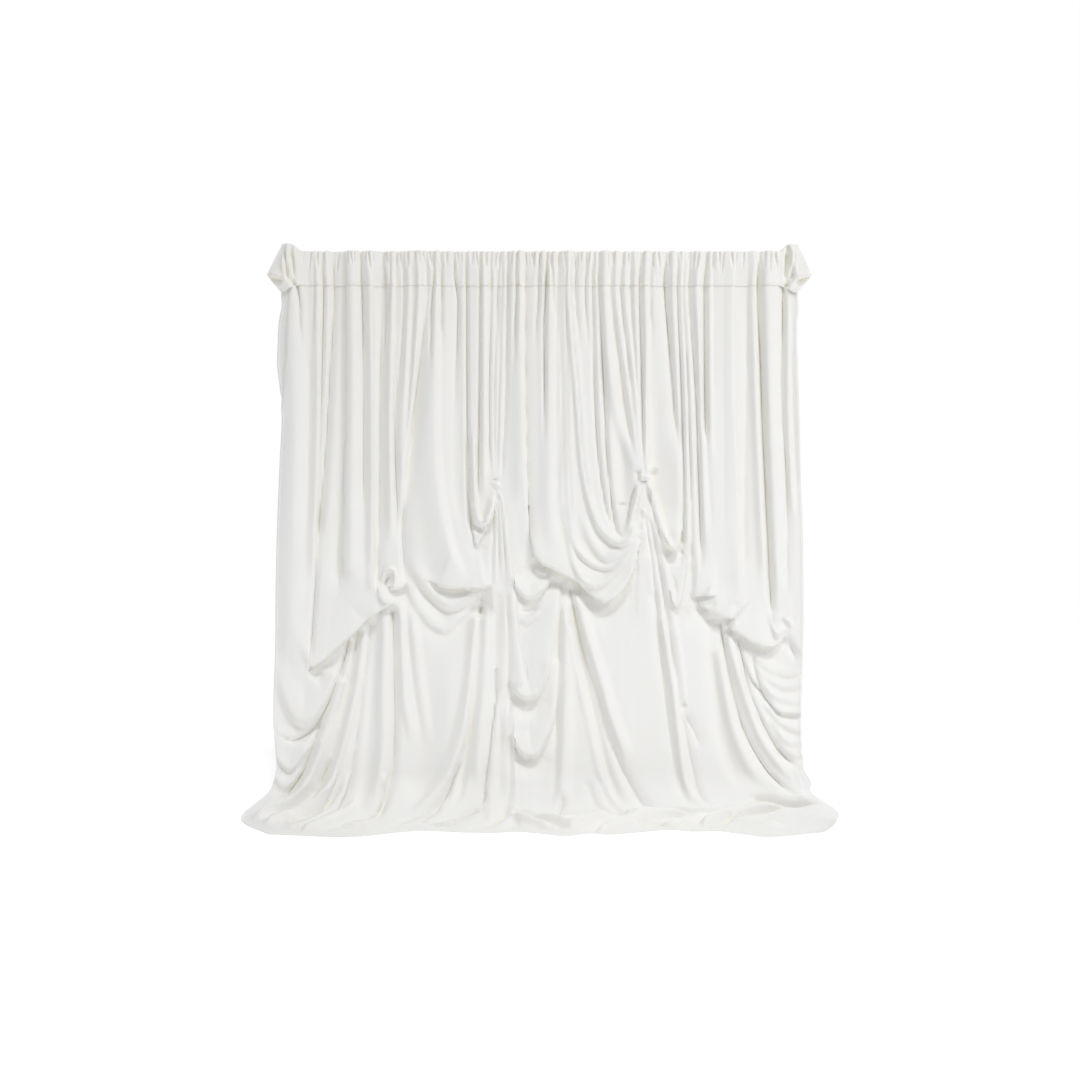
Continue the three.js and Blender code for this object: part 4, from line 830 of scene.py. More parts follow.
@dataclass
class Relief:
    """Sum of all strokes over places on the cloth, with the slip that tucks cloth in under a lip.

    Attributes:
        strokes: The folds, creases, rolls and lips.
        top_band: Drop above which the end of a path belongs to the pocket.
        top_start: Drop that such a path is led up to.
        steps: Straight pieces in each span of a path.
        fade_in, fade_out: Usual lengths that a fold grows and dies out over.
        lip_fade: Least length that a lip or roll grows and dies out over.
        back_fade, below_fade: Shares of the ease-back and of the length below that it is at least.
        longest_fade: Share of the whole path that a usual length is at most.
        ridge_gain, trough_gain: What a ridge's height and a trough's depth are multiplied by.
        ridge_reach, trough_reach: Half-widths that a ridge and a trough reach.
        crease_draw: Distance within which cloth is drawn onto a crease.
        crease_round: Share of the quarter circle in a trough's side.
        seam_share, seam_run: Share of its height that a fold has at the pocket, and the length
            over which it comes to all of it.
        lip_face: Share of its rise that a lip has at its very edge.
        tuck_under, tuck_out: Shares of the rise that cloth is drawn under, and the edge hangs out.
        tuck_least, tuck_share: Least reach of the tuck, and share of the rise that is added.
        sink_turn: How fast the sink grows as an edge turns from upright to level.
        floor_share: How much of the length over the floor counts.
    """

    strokes: Sequence[Stroke]
    side: SideView = field(default_factory=SideView)
    top_band: float = 21.0
    top_start: float = 3.0
    steps: int = 7
    fade_in: float = 4.0
    fade_out: float = 15.0
    lip_fade: float = 4.0
    back_fade: float = 0.15
    below_fade: float = 0.18
    longest_fade: float = 0.35
    ridge_gain: float = 1.7
    ridge_reach: float = 1.9
    trough_gain: float = 1.65
    trough_reach: float = 3.0
    crease_draw: float = 0.9
    crease_round: float = 0.5
    seam_share: float = 0.7
    seam_run: float = 55.0
    lip_face: float = 0.4
    tuck_under: float = 0.3
    tuck_out: float = 0.14
    tuck_least: float = 0.6
    tuck_share: float = 0.4
    sink_turn: float = 1.5
    floor_share: float = 0.8

    def _line(self, stroke: Stroke) -> tuple[Array, tuple[bool, bool]]:
        """Short straight pieces along a path.

        Each span is a cubic through the path's places on the cloth, with each slope taken from the
        places on both sides.

        Args:
            stroke: The stroke whose path it is.

        Returns:
            Points of the line, and whether its start and its end run up into the pocket.
        """
        path = list(stroke.path)
        from_top = path[0][1] < self.top_band
        to_top = path[-1][1] < self.top_band
        if from_top:
            path.insert(0, (path[0][0], self.top_start))
        if to_top:
            path.append((path[-1][0], self.top_start))
        seen = np.array(path, float)
        points = np.column_stack(self.side.on_cloth(seen[:, 0], seen[:, 1], self.floor_share))
        ends = np.vstack([2 * points[0] - points[1], points, 2 * points[-1] - points[-2]])
        t = np.linspace(0.0, 1.0, self.steps, endpoint=False)[None, :, None]
        a, b, c, d = (ends[k : len(ends) - 3 + k, None, :] for k in range(4))
        bend = 2 * a - 5 * b + 4 * c - d
        twist = 3 * b - a - 3 * c + d
        spans = 0.5 * (2 * b + (c - a) * t + bend * t**2 + twist * t**3)
        return np.vstack([spans.reshape(-1, 2), points[-1:]]), (from_top, to_top)

    def _nearest(self, line: Array, places: Array) -> tuple[Array, Array, Array, Array]:
        """Nearest point of a line for each place.

        Args:
            line: Points of the line.
            places: Places on the cloth.

        Returns:
            Offset, positive on the left hand; lengths walked from the start and to the end; and
            the left-hand direction there.
        """
        step = np.diff(line, axis=0)
        length = np.hypot(step[:, 0], step[:, 1])
        reach = places[:, None, :] - line[None, :-1]
        t = np.clip(np.einsum("nmk,mk->nm", reach, step) / length**2, 0.0, 1.0)
        gap = reach - t[..., None] * step
        square = np.einsum("nmk,nmk->nm", gap, gap)
        k = square.argmin(axis=1)
        row = np.arange(len(places))
        turn = step[k, 1] * reach[row, k, 0] - step[k, 0] * reach[row, k, 1]
        offset = np.sqrt(square[row, k]) * np.where(turn >= 0, 1.0, -1.0)
        start = np.concatenate([[0.0], np.cumsum(length)])[k] + t[row, k] * length[k]
        left = np.column_stack([step[k, 1], -step[k, 0]]) / length[k, None]
        return offset, start, length.sum() - start, left

    def _reach(self, stroke: Stroke) -> float:
        """How far from its path a stroke can shape the cloth.

        Args:
            stroke: The stroke.

        Returns:
            The distance in centimetres.
        """
        if stroke.form in PLAIN_FORMS:
            return self.trough_reach * max(stroke.right, stroke.left)
        return max(self.trough_reach * stroke.right, stroke.left + stroke.right, stroke.below + stroke.right)

    def _from_seam(self, walked: Array) -> Array:
        """Share of a fold's height that grows away from the pocket it comes out of."""
        return self.seam_share + (1.0 - self.seam_share) * ease(walked / self.seam_run)

    def _hold(self, stroke: Stroke, start: Array, end: Array, tops: tuple[bool, bool]) -> Array:
        """Share of a stroke's height along its path, eased in at its start and out at its end.

        Args:
            stroke: The stroke.
            start: Lengths walked from its start.
            end: Lengths left to its end.
            tops: Whether its start and its end run up into the pocket.

        Returns:
            Shares from 0 to 1.
        """
        plain = stroke.form in PLAIN_FORMS
        broad = max(self.lip_fade, self.back_fade * stroke.left, self.below_fade * stroke.below)
        longest = self.longest_fade * float(start[0] + end[0])
        first = stroke.grow or min(self.fade_in if plain else broad, longest)
        last = stroke.fade or min(self.fade_out if plain else broad, longest)
        from_top, to_top = tops
        grown = ease(start / first) if stroke.grow or not from_top else self._from_seam(start)
        return grown * (self._from_seam(end) if to_top else ease(end / last))

    def _fold(self, stroke: Stroke, offset: Array, above: Array) -> Array:
        """Rise of a ridge, a trough or a roll.

        A ridge is an eased bump. A trough is deepest at its path and rises by the mean of a
        quarter circle and a quarter sine: sharp at the bottom, round at the top. A roll eases back
        above its crest, drops into its hollow over its roundness and comes out of it over its
        length below.

        Args:
            stroke: The stroke.
            offset: Distances from its path, positive on the left hand.
            above: How much the left hand is the upper one.

        Returns:
            Heights in centimetres.
        """
        if stroke.form is Form.ROLL:
            sink = stroke.sink * above
            under = stroke.rise - (stroke.rise + sink) * ease(-offset / stroke.right)
            hollow = sink * ease((-offset - stroke.right) / stroke.below)
            return np.where(offset > 0, stroke.rise * (1.0 - ease(offset / stroke.left)), under + hollow)
        half = np.where(offset < 0, stroke.right, stroke.left)
        if stroke.form is Form.RIDGE:
            return self.ridge_gain * stroke.rise * (1.0 - ease(np.abs(offset) / (self.ridge_reach * half)))
        share = np.clip(np.abs(offset) / (self.trough_reach * half), 0.0, 1.0)
        round_side = 1.0 - np.sqrt(1.0 - (1.0 - share) ** 2)
        soft_side = 1.0 - np.sin(0.5 * np.pi * share)
        side = self.crease_round * round_side + (1.0 - self.crease_round) * soft_side
        return self.trough_gain * stroke.rise * side

    def _drawn(self, stroke: Stroke, offset: Array) -> Array:
        """Slip that draws the cloth nearest to a crease onto it, by the square of its distance.

        Args:
            stroke: The stroke, which has such a slip where it is a trough.
            offset: Distances from its path, positive on the left hand.

        Returns:
            Slips towards the left hand, in centimetres.
        """
        if stroke.form is not Form.TROUGH:
            return np.zeros_like(offset)
        tight = np.minimum(np.abs(offset) / self.crease_draw, 1.0)
        return offset * (tight - 1.0) * np.minimum(1.0, -stroke.rise)

    def _lip(self, stroke: Stroke, offset: Array, above: Array) -> tuple[Array, Array]:
        """Rise and slip of a lip.

        The rise starts at a share of the height, follows a quarter circle over the rim and then
        eases back. Within the tuck's reach, cloth in front is drawn down to the edge and cloth
        behind is drawn up under it, each by the square of its distance, so that both crowd there.

        Args:
            stroke: The stroke.
            offset: Distances from its path, positive on the left hand.
            above: How much the left hand is the upper one.

        Returns:
            Heights, and slips towards the left hand, in centimetres.
        """
        reach = self.tuck_least + self.tuck_share * stroke.rise
        tight = np.clip(np.abs(offset) / reach, 0.0, 1.0) ** 2
        out = self.tuck_out * stroke.rise
        under = self.tuck_under * stroke.rise
        front = np.where(tight < 1, (reach + out) * tight - out, offset)
        behind = np.where(tight < 1, under - (reach + under) * tight, offset)
        bare = np.clip(1.0 - (front + out) / stroke.right, 0.0, 1.0)
        rim = self.lip_face + (1 - self.lip_face) * np.sqrt(1.0 - bare**2)
        back = 1.0 - ease((front - stroke.right) / stroke.left)
        sunk = -stroke.sink * above * (1.0 - ease(-offset / stroke.below))
        rise = np.where(offset > 0, stroke.rise * rim * back, sunk)
        return rise, np.where(offset > 0, front, behind) - offset

    def over(self, across: Array, drop: Array) -> tuple[Array, Array, Array]:
        """Works out the whole relief.

        Args:
            across: Places across, as seen.
            drop: Drops, as seen.

        Returns:
            Rise, slip across and slip along the cloth, in centimetres.
        """
        places = np.column_stack([v.ravel() for v in self.side.on_cloth(across, drop, self.floor_share)])
        total = np.zeros((3, len(places)))
        for stroke in self.strokes:
            line, tops = self._line(stroke)
            reach = self._reach(stroke)
            near_box = (places > line.min(axis=0) - reach) & (places < line.max(axis=0) + reach)
            chosen = np.flatnonzero(near_box.all(axis=1))
            if not len(chosen):
                continue
            offset, start, end, left = self._nearest(line, places[chosen])
            hold = self._hold(stroke, start, end, tops)
            above = np.clip(-self.sink_turn * left[:, 1], 0.0, 1.0)
            if stroke.form is Form.LIP:
                rise, slip = self._lip(stroke, offset, above)
            else:
                slip = self._drawn(stroke, offset)
                rise = self._fold(stroke, offset + slip, above)
            total[0, chosen] += hold * rise
            total[1:, chosen] += (hold * slip)[None, :] * left.T
        rise, slip_across, slip_along = (part.reshape(across.shape) for part in total)
        return rise, slip_across, slip_along


class MeshMaker:
    """Puts numpy grids into Blender meshes."""

    # Order of a face's corners that turns it round from the same first corner
    TURNED: ClassVar[list[int]] = [0, 3, 2, 1]

    @staticmethod
    def index(rows: int, columns: int, closed: bool = False) -> Faces:
        """Vertex numbers of a grid.

        Args:
            rows: Rows of the grid.
            columns: Vertices in each row.
            closed: Whether the first of each row follows again at its end, as round a tube.

        Returns:
            The numbers, rows by columns.
        """
        numbers = np.arange(rows * columns).reshape(rows, columns)
        return np.concatenate([numbers, numbers[:, :1]], axis=1) if closed else numbers

    @staticmethod
    def grid_faces(index: Faces) -> Faces:
        """Four corners of every cell of a grid of vertex numbers, first down and then across."""
        cells = (index[:-1, :-1], index[1:, :-1], index[1:, 1:], index[:-1, 1:])
        return np.stack(cells, axis=-1).reshape(-1, len(cells))

    @staticmethod
    def make(name: str, points: Array, faces: Faces, uv: Array | None = None) -> bpy.types.Object:
        """Makes a smooth-shaded object at the origin.

        Args:
            name: The piece's name.
            points: Vertices in metres.
            faces: Four vertex numbers a face.
            uv: A flat place for each vertex, or None.

        Returns:
            The new object, linked into the scene.
        """
        mesh = bpy.data.meshes.new(name)
        mesh.vertices.add(len(points))
        mesh.vertices.foreach_set("co", points.astype(np.float32).ravel())
        mesh.loops.add(faces.size)
        mesh.loops.foreach_set("vertex_index", faces.astype(np.int32).ravel())
        mesh.polygons.add(len(faces))
        starts = np.arange(0, faces.size, faces.shape[1], dtype=np.int32)
        mesh.polygons.foreach_set("loop_start", starts)
        mesh.update(calc_edges=True)
        mesh.polygons.foreach_set("use_smooth", np.ones(len(faces), dtype=bool))
        if uv is not None:
            layer = mesh.uv_layers.new(name="Flat")
            layer.uv.foreach_set("vector", uv[faces.ravel()].astype(np.float32).ravel())
        mesh.validate()
        made = bpy.data.objects.new(name, mesh)
        bpy.context.scene.collection.objects.link(made)
        return made

    @staticmethod
    def painted_shade(made: bpy.types.Object, values: Array) -> None:
        """Stores each vertex's share of the painted crease shade colour, under the name that the cloth's
        materials read.
        """
        layer = made.data.attributes.new(Knit.SHADE_ATTRIBUTE, "FLOAT", "POINT")
        layer.data.foreach_set("value", values.astype(np.float32).ravel())


@dataclass(frozen=True)
class KnitRibs:
    """Node group of fine knit ribs and soft patches, which the cloth's materials share.

    Attributes:
        rib_detail: Layers of noise in the ribs.
        patch_scale: Patches in a metre.
        patch_detail: Layers of noise in the patches.
    """

    name: str = "Knit ribs"
    rib_detail: float = 3.0
    patch_scale: float = 7.0
    patch_detail: float = 4.0

    def group(self) -> bpy.types.NodeTree:
        """Ribs as noise of a pitch, put out as a height, and broad noise, put out as a mottle.

        Returns:
            The group, made once.
        """
        known = bpy.data.node_groups.get(self.name)
        if known:
            return known
        group = bpy.data.node_groups.new(self.name, "ShaderNodeTree")
        group.interface.new_socket("Place", in_out="INPUT", socket_type="NodeSocketVector")
        group.interface.new_socket("Pitch", in_out="INPUT", socket_type="NodeSocketFloat")
        group.interface.new_socket("Height", in_out="OUTPUT", socket_type="NodeSocketFloat")
        group.interface.new_socket("Mottle", in_out="OUTPUT", socket_type="NodeSocketFloat")
        nodes, links = group.nodes, group.links
        inlet = nodes.new("NodeGroupInput")
        outlet = nodes.new("NodeGroupOutput")
        inverse = nodes.new("ShaderNodeMath")
        inverse.operation = "DIVIDE"
        inverse.inputs[0].default_value = 1.0
        links.new(inlet.outputs["Pitch"], inverse.inputs[1])
        ribs = nodes.new("ShaderNodeTexNoise")
        ribs.inputs["Detail"].default_value = self.rib_detail
        links.new(inlet.outputs["Place"], ribs.inputs["Vector"])
        links.new(inverse.outputs[0], ribs.inputs["Scale"])
        links.new(ribs.outputs["Fac"], outlet.inputs["Height"])
        patches = nodes.new("ShaderNodeTexNoise")
        patches.inputs["Scale"].default_value = self.patch_scale
        patches.inputs["Detail"].default_value = self.patch_detail
        links.new(inlet.outputs["Place"], patches.inputs["Vector"])
        links.new(patches.outputs["Fac"], outlet.inputs["Mottle"])
        return group


@dataclass(frozen=True)
class Knit:
    """Finish of the off-white stretch knit.

    Attributes:
        light: Colour of the open cloth.
        shade: Warmer, darker colour painted down in the creases as their shade.
        specular: Level of its plain shine.
        sheen: Soft light of the fibres at grazing angles.
        sheen_roughness: How widely this light spreads.
        stitch: Pitch of the knit in metres.
        relief: Depth of the knit in metres.
        bump: Strength of the knit's bump.
        mottle: Share of the shade that comes in patches.
    """

    SHADE_ATTRIBUTE: ClassVar[str] = "crease"

    name: str
    light: Triple
    shade: Triple
    roughness: float = 0.78
    specular: float = 0.25
    sheen: float = 0.25
    sheen_roughness: float = 0.5
    stitch: float = 0.0022
    relief: float = 0.0004
    bump: float = 0.35
    mottle: float = 0.1

    def material(self) -> bpy.types.Material:
        """Principled cloth: painted crease shade and a mottle mix the two colours, the ribs make a fine
        bump.

        Returns:
            The new material.
        """
        made = bpy.data.materials.new(self.name)
        made.use_nodes = True
        nodes, links = made.node_tree.nodes, made.node_tree.links
        shader = nodes["Principled BSDF"]
        shader.inputs["Roughness"].default_value = self.roughness
        shader.inputs["Sheen Weight"].default_value = self.sheen
        shader.inputs["Sheen Roughness"].default_value = self.sheen_roughness
        shader.inputs["Specular IOR Level"].default_value = self.specular
        place = nodes.new("ShaderNodeTexCoord")
        weave = nodes.new("ShaderNodeGroup")
        weave.node_tree = KnitRibs().group()
        weave.inputs["Pitch"].default_value = self.stitch
        links.new(place.outputs["Object"], weave.inputs["Place"])
        # Painted shade: the crease attribute mixes in the darker, warmer shade colour
        crease = nodes.new("ShaderNodeAttribute")
        crease.attribute_name = self.SHADE_ATTRIBUTE
        spread = nodes.new("ShaderNodeMath")
        spread.operation = "MULTIPLY_ADD"
        spread.inputs[1].default_value = self.mottle
        links.new(weave.outputs["Mottle"], spread.inputs[0])
        links.new(crease.outputs["Fac"], spread.inputs[2])
        tone = nodes.new("ShaderNodeMix")
        tone.data_type = "RGBA"
        tone.inputs["A"].default_value = (*self.light, 1.0)
        tone.inputs["B"].default_value = (*self.shade, 1.0)
        links.new(spread.outputs[0], tone.inputs["Factor"])
        links.new(tone.outputs["Result"], shader.inputs["Base Color"])
        bump = nodes.new("ShaderNodeBump")
        bump.inputs["Strength"].default_value = self.bump
        bump.inputs["Distance"].default_value = self.relief
        links.new(weave.outputs["Height"], bump.inputs["Height"])
        links.new(bump.outputs["Normal"], shader.inputs["Normal"])
        return made


# Colours of the open cloth and of the painted crease shade
PANEL_KNIT = Knit("Panel knit", light=(0.89, 0.889, 0.884), shade=(0.87, 0.825, 0.67))
# Painted light: the pocket is the same knit with both colours painted a little lighter, to make up for the
# shade its leaning front ply gets
POCKET_KNIT_PAINTED_LIGHTER = Knit("Pocket knit painted lighter", light=(0.905, 0.903, 0.896), shade=(0.88, 0.835, 0.68))


@dataclass
class DrapePanel:
    """The long sheet below the pocket, with its hem.

    Attributes:
        bands: Rows of the sheet, as the drop that each band ends at and its steps.
        pool_rows: Steps from the last band to the hem.
        view_run: Length below the seam over which the folds turn towards the viewer.
        puff, puff_left: Height of the loose cloth on the right and the left of the pool.
        puff_change: Places across between which the one goes over into the other.
        puff_side: Length from a side edge over which the loose cloth rises.
        floor_gap: Least height of the sheet above the floor.
        uneven, uneven_run: Heights and cells of soft noise, and the length over which it grows.
        painted_shade: Painted shade in the creases.
        pale: Share of this painted shade that the lower cloth loses, with where that starts and its length.
        seam_shade, seam_shade_run: Painted shade that is added under the seam, and how far down most of it
            goes.
        flat: Width and length that the cloth was cut to, in metres. Not used.
        hem_width, hem_half: Half of the hem's width and of its thickness, in metres.
        hem_gap: Least height of the hem above the floor, in metres.
        hem_step: Steps from the edge to the points that give its inward direction.
        relief: The folds.
    """

    columns: int = 352
    bands: tuple[tuple[float, int], ...] = ((94, 30), (134, 58), (168, 48), (215, 52), (244, 32))
    pool_rows: int = 56
    view_run: float = 40.0
    puff: float = 3.0
    puff_left: float = 2.0
    puff_change: tuple[float, float] = (-15.0, 15.0)
    puff_side: float = 12.0
    floor_gap: float = 0.25
    uneven: tuple[tuple[float, tuple[int, int]], ...] = ((0.25, (6, 34)), (0.10, (16, 90)))
    uneven_run: float = 12.0
    seed: int = 7
    # Painted shade in the creases, and a band of painted shade under the seam
    painted_shade: PaintedCreaseShade = PaintedCreaseShade(1.5)
    pale: Triple = (0.2, 110.0, 60.0)
    seam_shade: float = 0.12
    seam_shade_run: float = 15.0
    flat: tuple[float, float] = (3.0, 3.1)
    hem_width: float = 0.006
    hem_half: float = 0.0013
    hem_sides: int = 8
    hem_gap: float = 0.0006
    hem_step: int = 2
    side: SideView = field(default_factory=SideView)
    relief: Relief = field(default_factory=lambda: Relief(PANEL_STROKES))

    def _hems(self) -> tuple[Array, Array]:
        """Ends of all threads at the hem, borders included.

        Returns:
            Across and drop of each end.
        """
        across = np.array([LEFT_BORDER[-1][0], *(row[-1] for row in INNER_THREADS), RIGHT_BORDER[-1][0]])
        return across, curve_through(*np.array(HEM_LINE).T, across)

    def _rows(self, hem: Array) -> Array:
        """Drops of the grid: level bands, then even steps from the last band to the hem.

        Args:
            hem: Drop of the hem at each column.

        Returns:
            The drops, rows by columns.
        """
        levels = [np.array([SEAM_DROP])]
        for end, steps in self.bands:
            levels.append(np.linspace(levels[-1][-1], end, steps + 1)[1:])
        upper = np.concatenate(levels)
        last = upper[-1]
        pool = np.linspace(0.0, 1.0, self.pool_rows + 1)[1:, None]
        return np.vstack([np.repeat(upper[:, None], len(hem), axis=1), last + pool * (hem - last)])

    def _thread(self, number: int, drop: Array, share: Array, hem: float) -> Array:
        """How far across one thread lies, held to its own hem at the end.

        Args:
            number: The thread, counted from the left border.
            drop: Drops to work out.
            share: Shares of the way from the seam to the hem at those drops.
            hem: Drop of the thread's own end.

        Returns:
            Places across.
        """
        if number == 0:
            border = np.array(LEFT_BORDER)
        elif number == len(INNER_THREADS) + 1:
            border = np.array(RIGHT_BORDER)
        else:
            border = np.column_stack([INNER_THREADS[number - 1], (*THREAD_DROPS, hem)])
        reached = np.where(share >= 1.0, border[-1, 1], np.minimum(drop, border[-1, 1]))
        return curve_through(border[:, 1], border[:, 0], reached)

    def places(self) -> tuple[Array, Array]:
        """Places of the sheet's grid as seen, rows down and columns across.

        Columns share out the gaps between threads by their width at the pocket. Each thread is a
        smooth curve down to its hem, and a column lies between its two threads.

        Returns:
            Across and drop of every place.
        """
        hem_across, hem_drop = self._hems()
        tops = np.array([LEFT_BORDER[0][0], *(row[0] for row in INNER_THREADS), RIGHT_BORDER[0][0]])
        numbers = np.arange(len(tops))
        spot = np.interp(np.linspace(tops[0], tops[-1], self.columns + 1), tops, numbers)
        hem = curve_through(*np.array(HEM_LINE).T, np.interp(spot, numbers, hem_across))
        drop = self._rows(hem)
        share = (drop - SEAM_DROP) / (hem - SEAM_DROP)
        across = np.zeros_like(drop)
        last = len(tops) - 2
        for k in range(last + 1):
            inside = (spot >= k) & ((spot < k + 1) | (k == last))
            part = (drop[:, inside], share[:, inside])
            west, east = (self._thread(n, *part, float(hem_drop[n])) for n in (k, k + 1))
            across[:, inside] = west + (east - west) * (spot[inside] - k)
        return across, drop

    def stand_out(self, plain: Array, drop: Array) -> Array:
        """Direction of the relief: forward at the pocket, then to the viewer, then up on the floor.

        Args:
            plain: Points of the plain cloth.
            drop: Their drops as seen.

        Returns:
            A direction of length 1 for each point.
        """
        eye = np.array([0.0, -SIGHT_DISTANCE, -SIGHT_DROP])
        sight = eye - plain
        sight /= np.linalg.norm(sight, axis=-1, keepdims=True)
        viewed = ease((drop - SEAM_DROP) / self.view_run)[..., None]
        floored = ease(self.side.turned(drop))[..., None]
        out = np.array([0.0, -1.0, 0.0]) * (1 - viewed) + sight * viewed
        out = out * (1 - floored) + np.array([0.0, 0.0, 1.0]) * floored
        return out / np.linalg.norm(out, axis=-1, keepdims=True)

    def _unevenness(self, drop: Array) -> Array:
        """Layers of soft noise, which grow away from the seam.

        Args:
            drop: Drops, as seen.

        Returns:
            Heights in centimetres.
        """
        rng = np.random.default_rng(self.seed)
        noise = sum(height * soft_noise(rng, drop.shape, cells) for height, cells in self.uneven)
        return noise * ease((drop - SEAM_DROP) / self.uneven_run)

    def _loose(self, across: Array, drop: Array) -> Array:
        """Height of the loose cloth: half a sine over the square of the way from the turn to the hem.

        Args:
            across: Places across, as seen.
            drop: Drops, as seen.

        Returns:
            Heights in centimetres, 0 at both side edges.
        """
        pooled = np.clip((drop - self.side.turn_start) / (drop[-1:] - self.side.turn_start), 0.0, 1.0)
        inside = np.minimum(across - across[:, :1], across[:, -1:] - across)
        change_start, change_end = self.puff_change
        to_right = ease((across - change_start) / (change_end - change_start))
        puff = self.puff_left + (self.puff - self.puff_left) * to_right
        return puff * np.sin(np.pi * pooled**2) * ease(inside / self.puff_side)

    def _crease_shade(self, rise: Array, drop: Array) -> Array:
        """Painted shade by the creases, less of it on the lower cloth, with a band of painted shade that
        dies away from the seam.

        Args:
            rise: Heights of the relief.
            drop: Drops, as seen.

        Returns:
            Share of painted shade at each point.
        """
        loss, start, run = self.pale
        kept = 1 - loss * ease((drop - start) / run)
        return self.painted_shade.over(rise) * kept + self.seam_shade * np.exp(-(drop - SEAM_DROP) / self.seam_shade_run)

    def surface(self) -> tuple[Array, Array, Array]:
        """The draped sheet: the plain cloth, slipped along its folds and raised by them.

        Returns:
            Points in metres, flat places in metres, and the share of painted crease shade at each point.
        """
        across, drop = self.places()
        rise, slip_across, slip_along = self.relief.over(across, drop)
        rise += self._unevenness(drop)
        across_slipped = across + slip_across
        drop_slipped = np.where(drop < self.side.turn_start, drop + slip_along, drop)
        depth, height = self.side.outline(drop_slipped)
        plain = np.stack([across_slipped * (1 + depth / SIGHT_DISTANCE), depth, height], axis=-1)
        points = plain + rise[..., None] * self.stand_out(plain, drop)
        points[..., 2] += self._loose(across, drop)
        points[..., 2] = np.maximum(points[..., 2], -FLOOR_DROP + self.floor_gap)
        flat = np.stack(self.side.on_cloth(across, drop), axis=-1)
        return points * CM, flat * CM, self._crease_shade(rise, drop)

    def build(self, finish: bpy.types.Material) -> tuple[bpy.types.Object, bpy.types.Object]:
        """Makes the sheet and its hem, hangs them on the root body and hides the solid they stand for.

        Args:
            finish: The cloth's material.

        Returns:
            The sheet and the hem.
        """
        points, flat, crease = self.surface()
        faces = MeshMaker.grid_faces(MeshMaker.index(*points.shape[:2]))
        sheet = MeshMaker.make("drape_sheet", points.reshape(-1, 3), faces, flat.reshape(-1, 2))
        MeshMaker.painted_shade(sheet, crease)
        hem = self._hem(points)
        for piece in (sheet, hem):
            piece.data.materials.append(finish)
            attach(piece, "root")
        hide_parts("drape_panel")
        return sheet, hem

    def _hem(self, points: Array) -> bpy.types.Object:
        """Turned hem: a flat ring carried down the left edge, along the bottom and up the right edge.

        Each ring is an ellipse in the plane of the inward direction and the cloth's normal.

        Args:
            points: The sheet's points in metres.

        Returns:
            The hem.
        """
        edge = np.concatenate([points[:, 0], points[-1, 1:-1], points[::-1, -1]])
        step = self.hem_step
        inner = np.concatenate([points[:, step], points[-1 - step, 1:-1], points[::-1, -1 - step]])
        along = np.gradient(edge, axis=0)
        along /= np.linalg.norm(along, axis=1, keepdims=True)
        inward = inner - edge
        inward -= along * np.einsum("nk,nk->n", inward, along)[:, None]
        inward /= np.linalg.norm(inward, axis=1, keepdims=True)
        normal = np.cross(inward, along)
        angle = np.linspace(0.0, 2 * np.pi, self.hem_sides + 1)[:-1]
        ring = (
            inward[:, None] * (self.hem_width * (1 - np.cos(angle)))[None, :, None]
            + normal[:, None] * (self.hem_half * np.sin(angle))[None, :, None]
        )
        tube = edge[:, None] + ring
        tube[..., 2] = np.maximum(tube[..., 2], -FLOOR_DROP * CM + self.hem_gap)
        index = MeshMaker.index(*tube.shape[:2], closed=True)
        faces = MeshMaker.grid_faces(index)[:, MeshMaker.TURNED]
        hem = MeshMaker.make("drape_hem", tube.reshape(-1, 3), faces)
        MeshMaker.painted_shade(hem, np.zeros(tube.shape[:2]))
        return hem


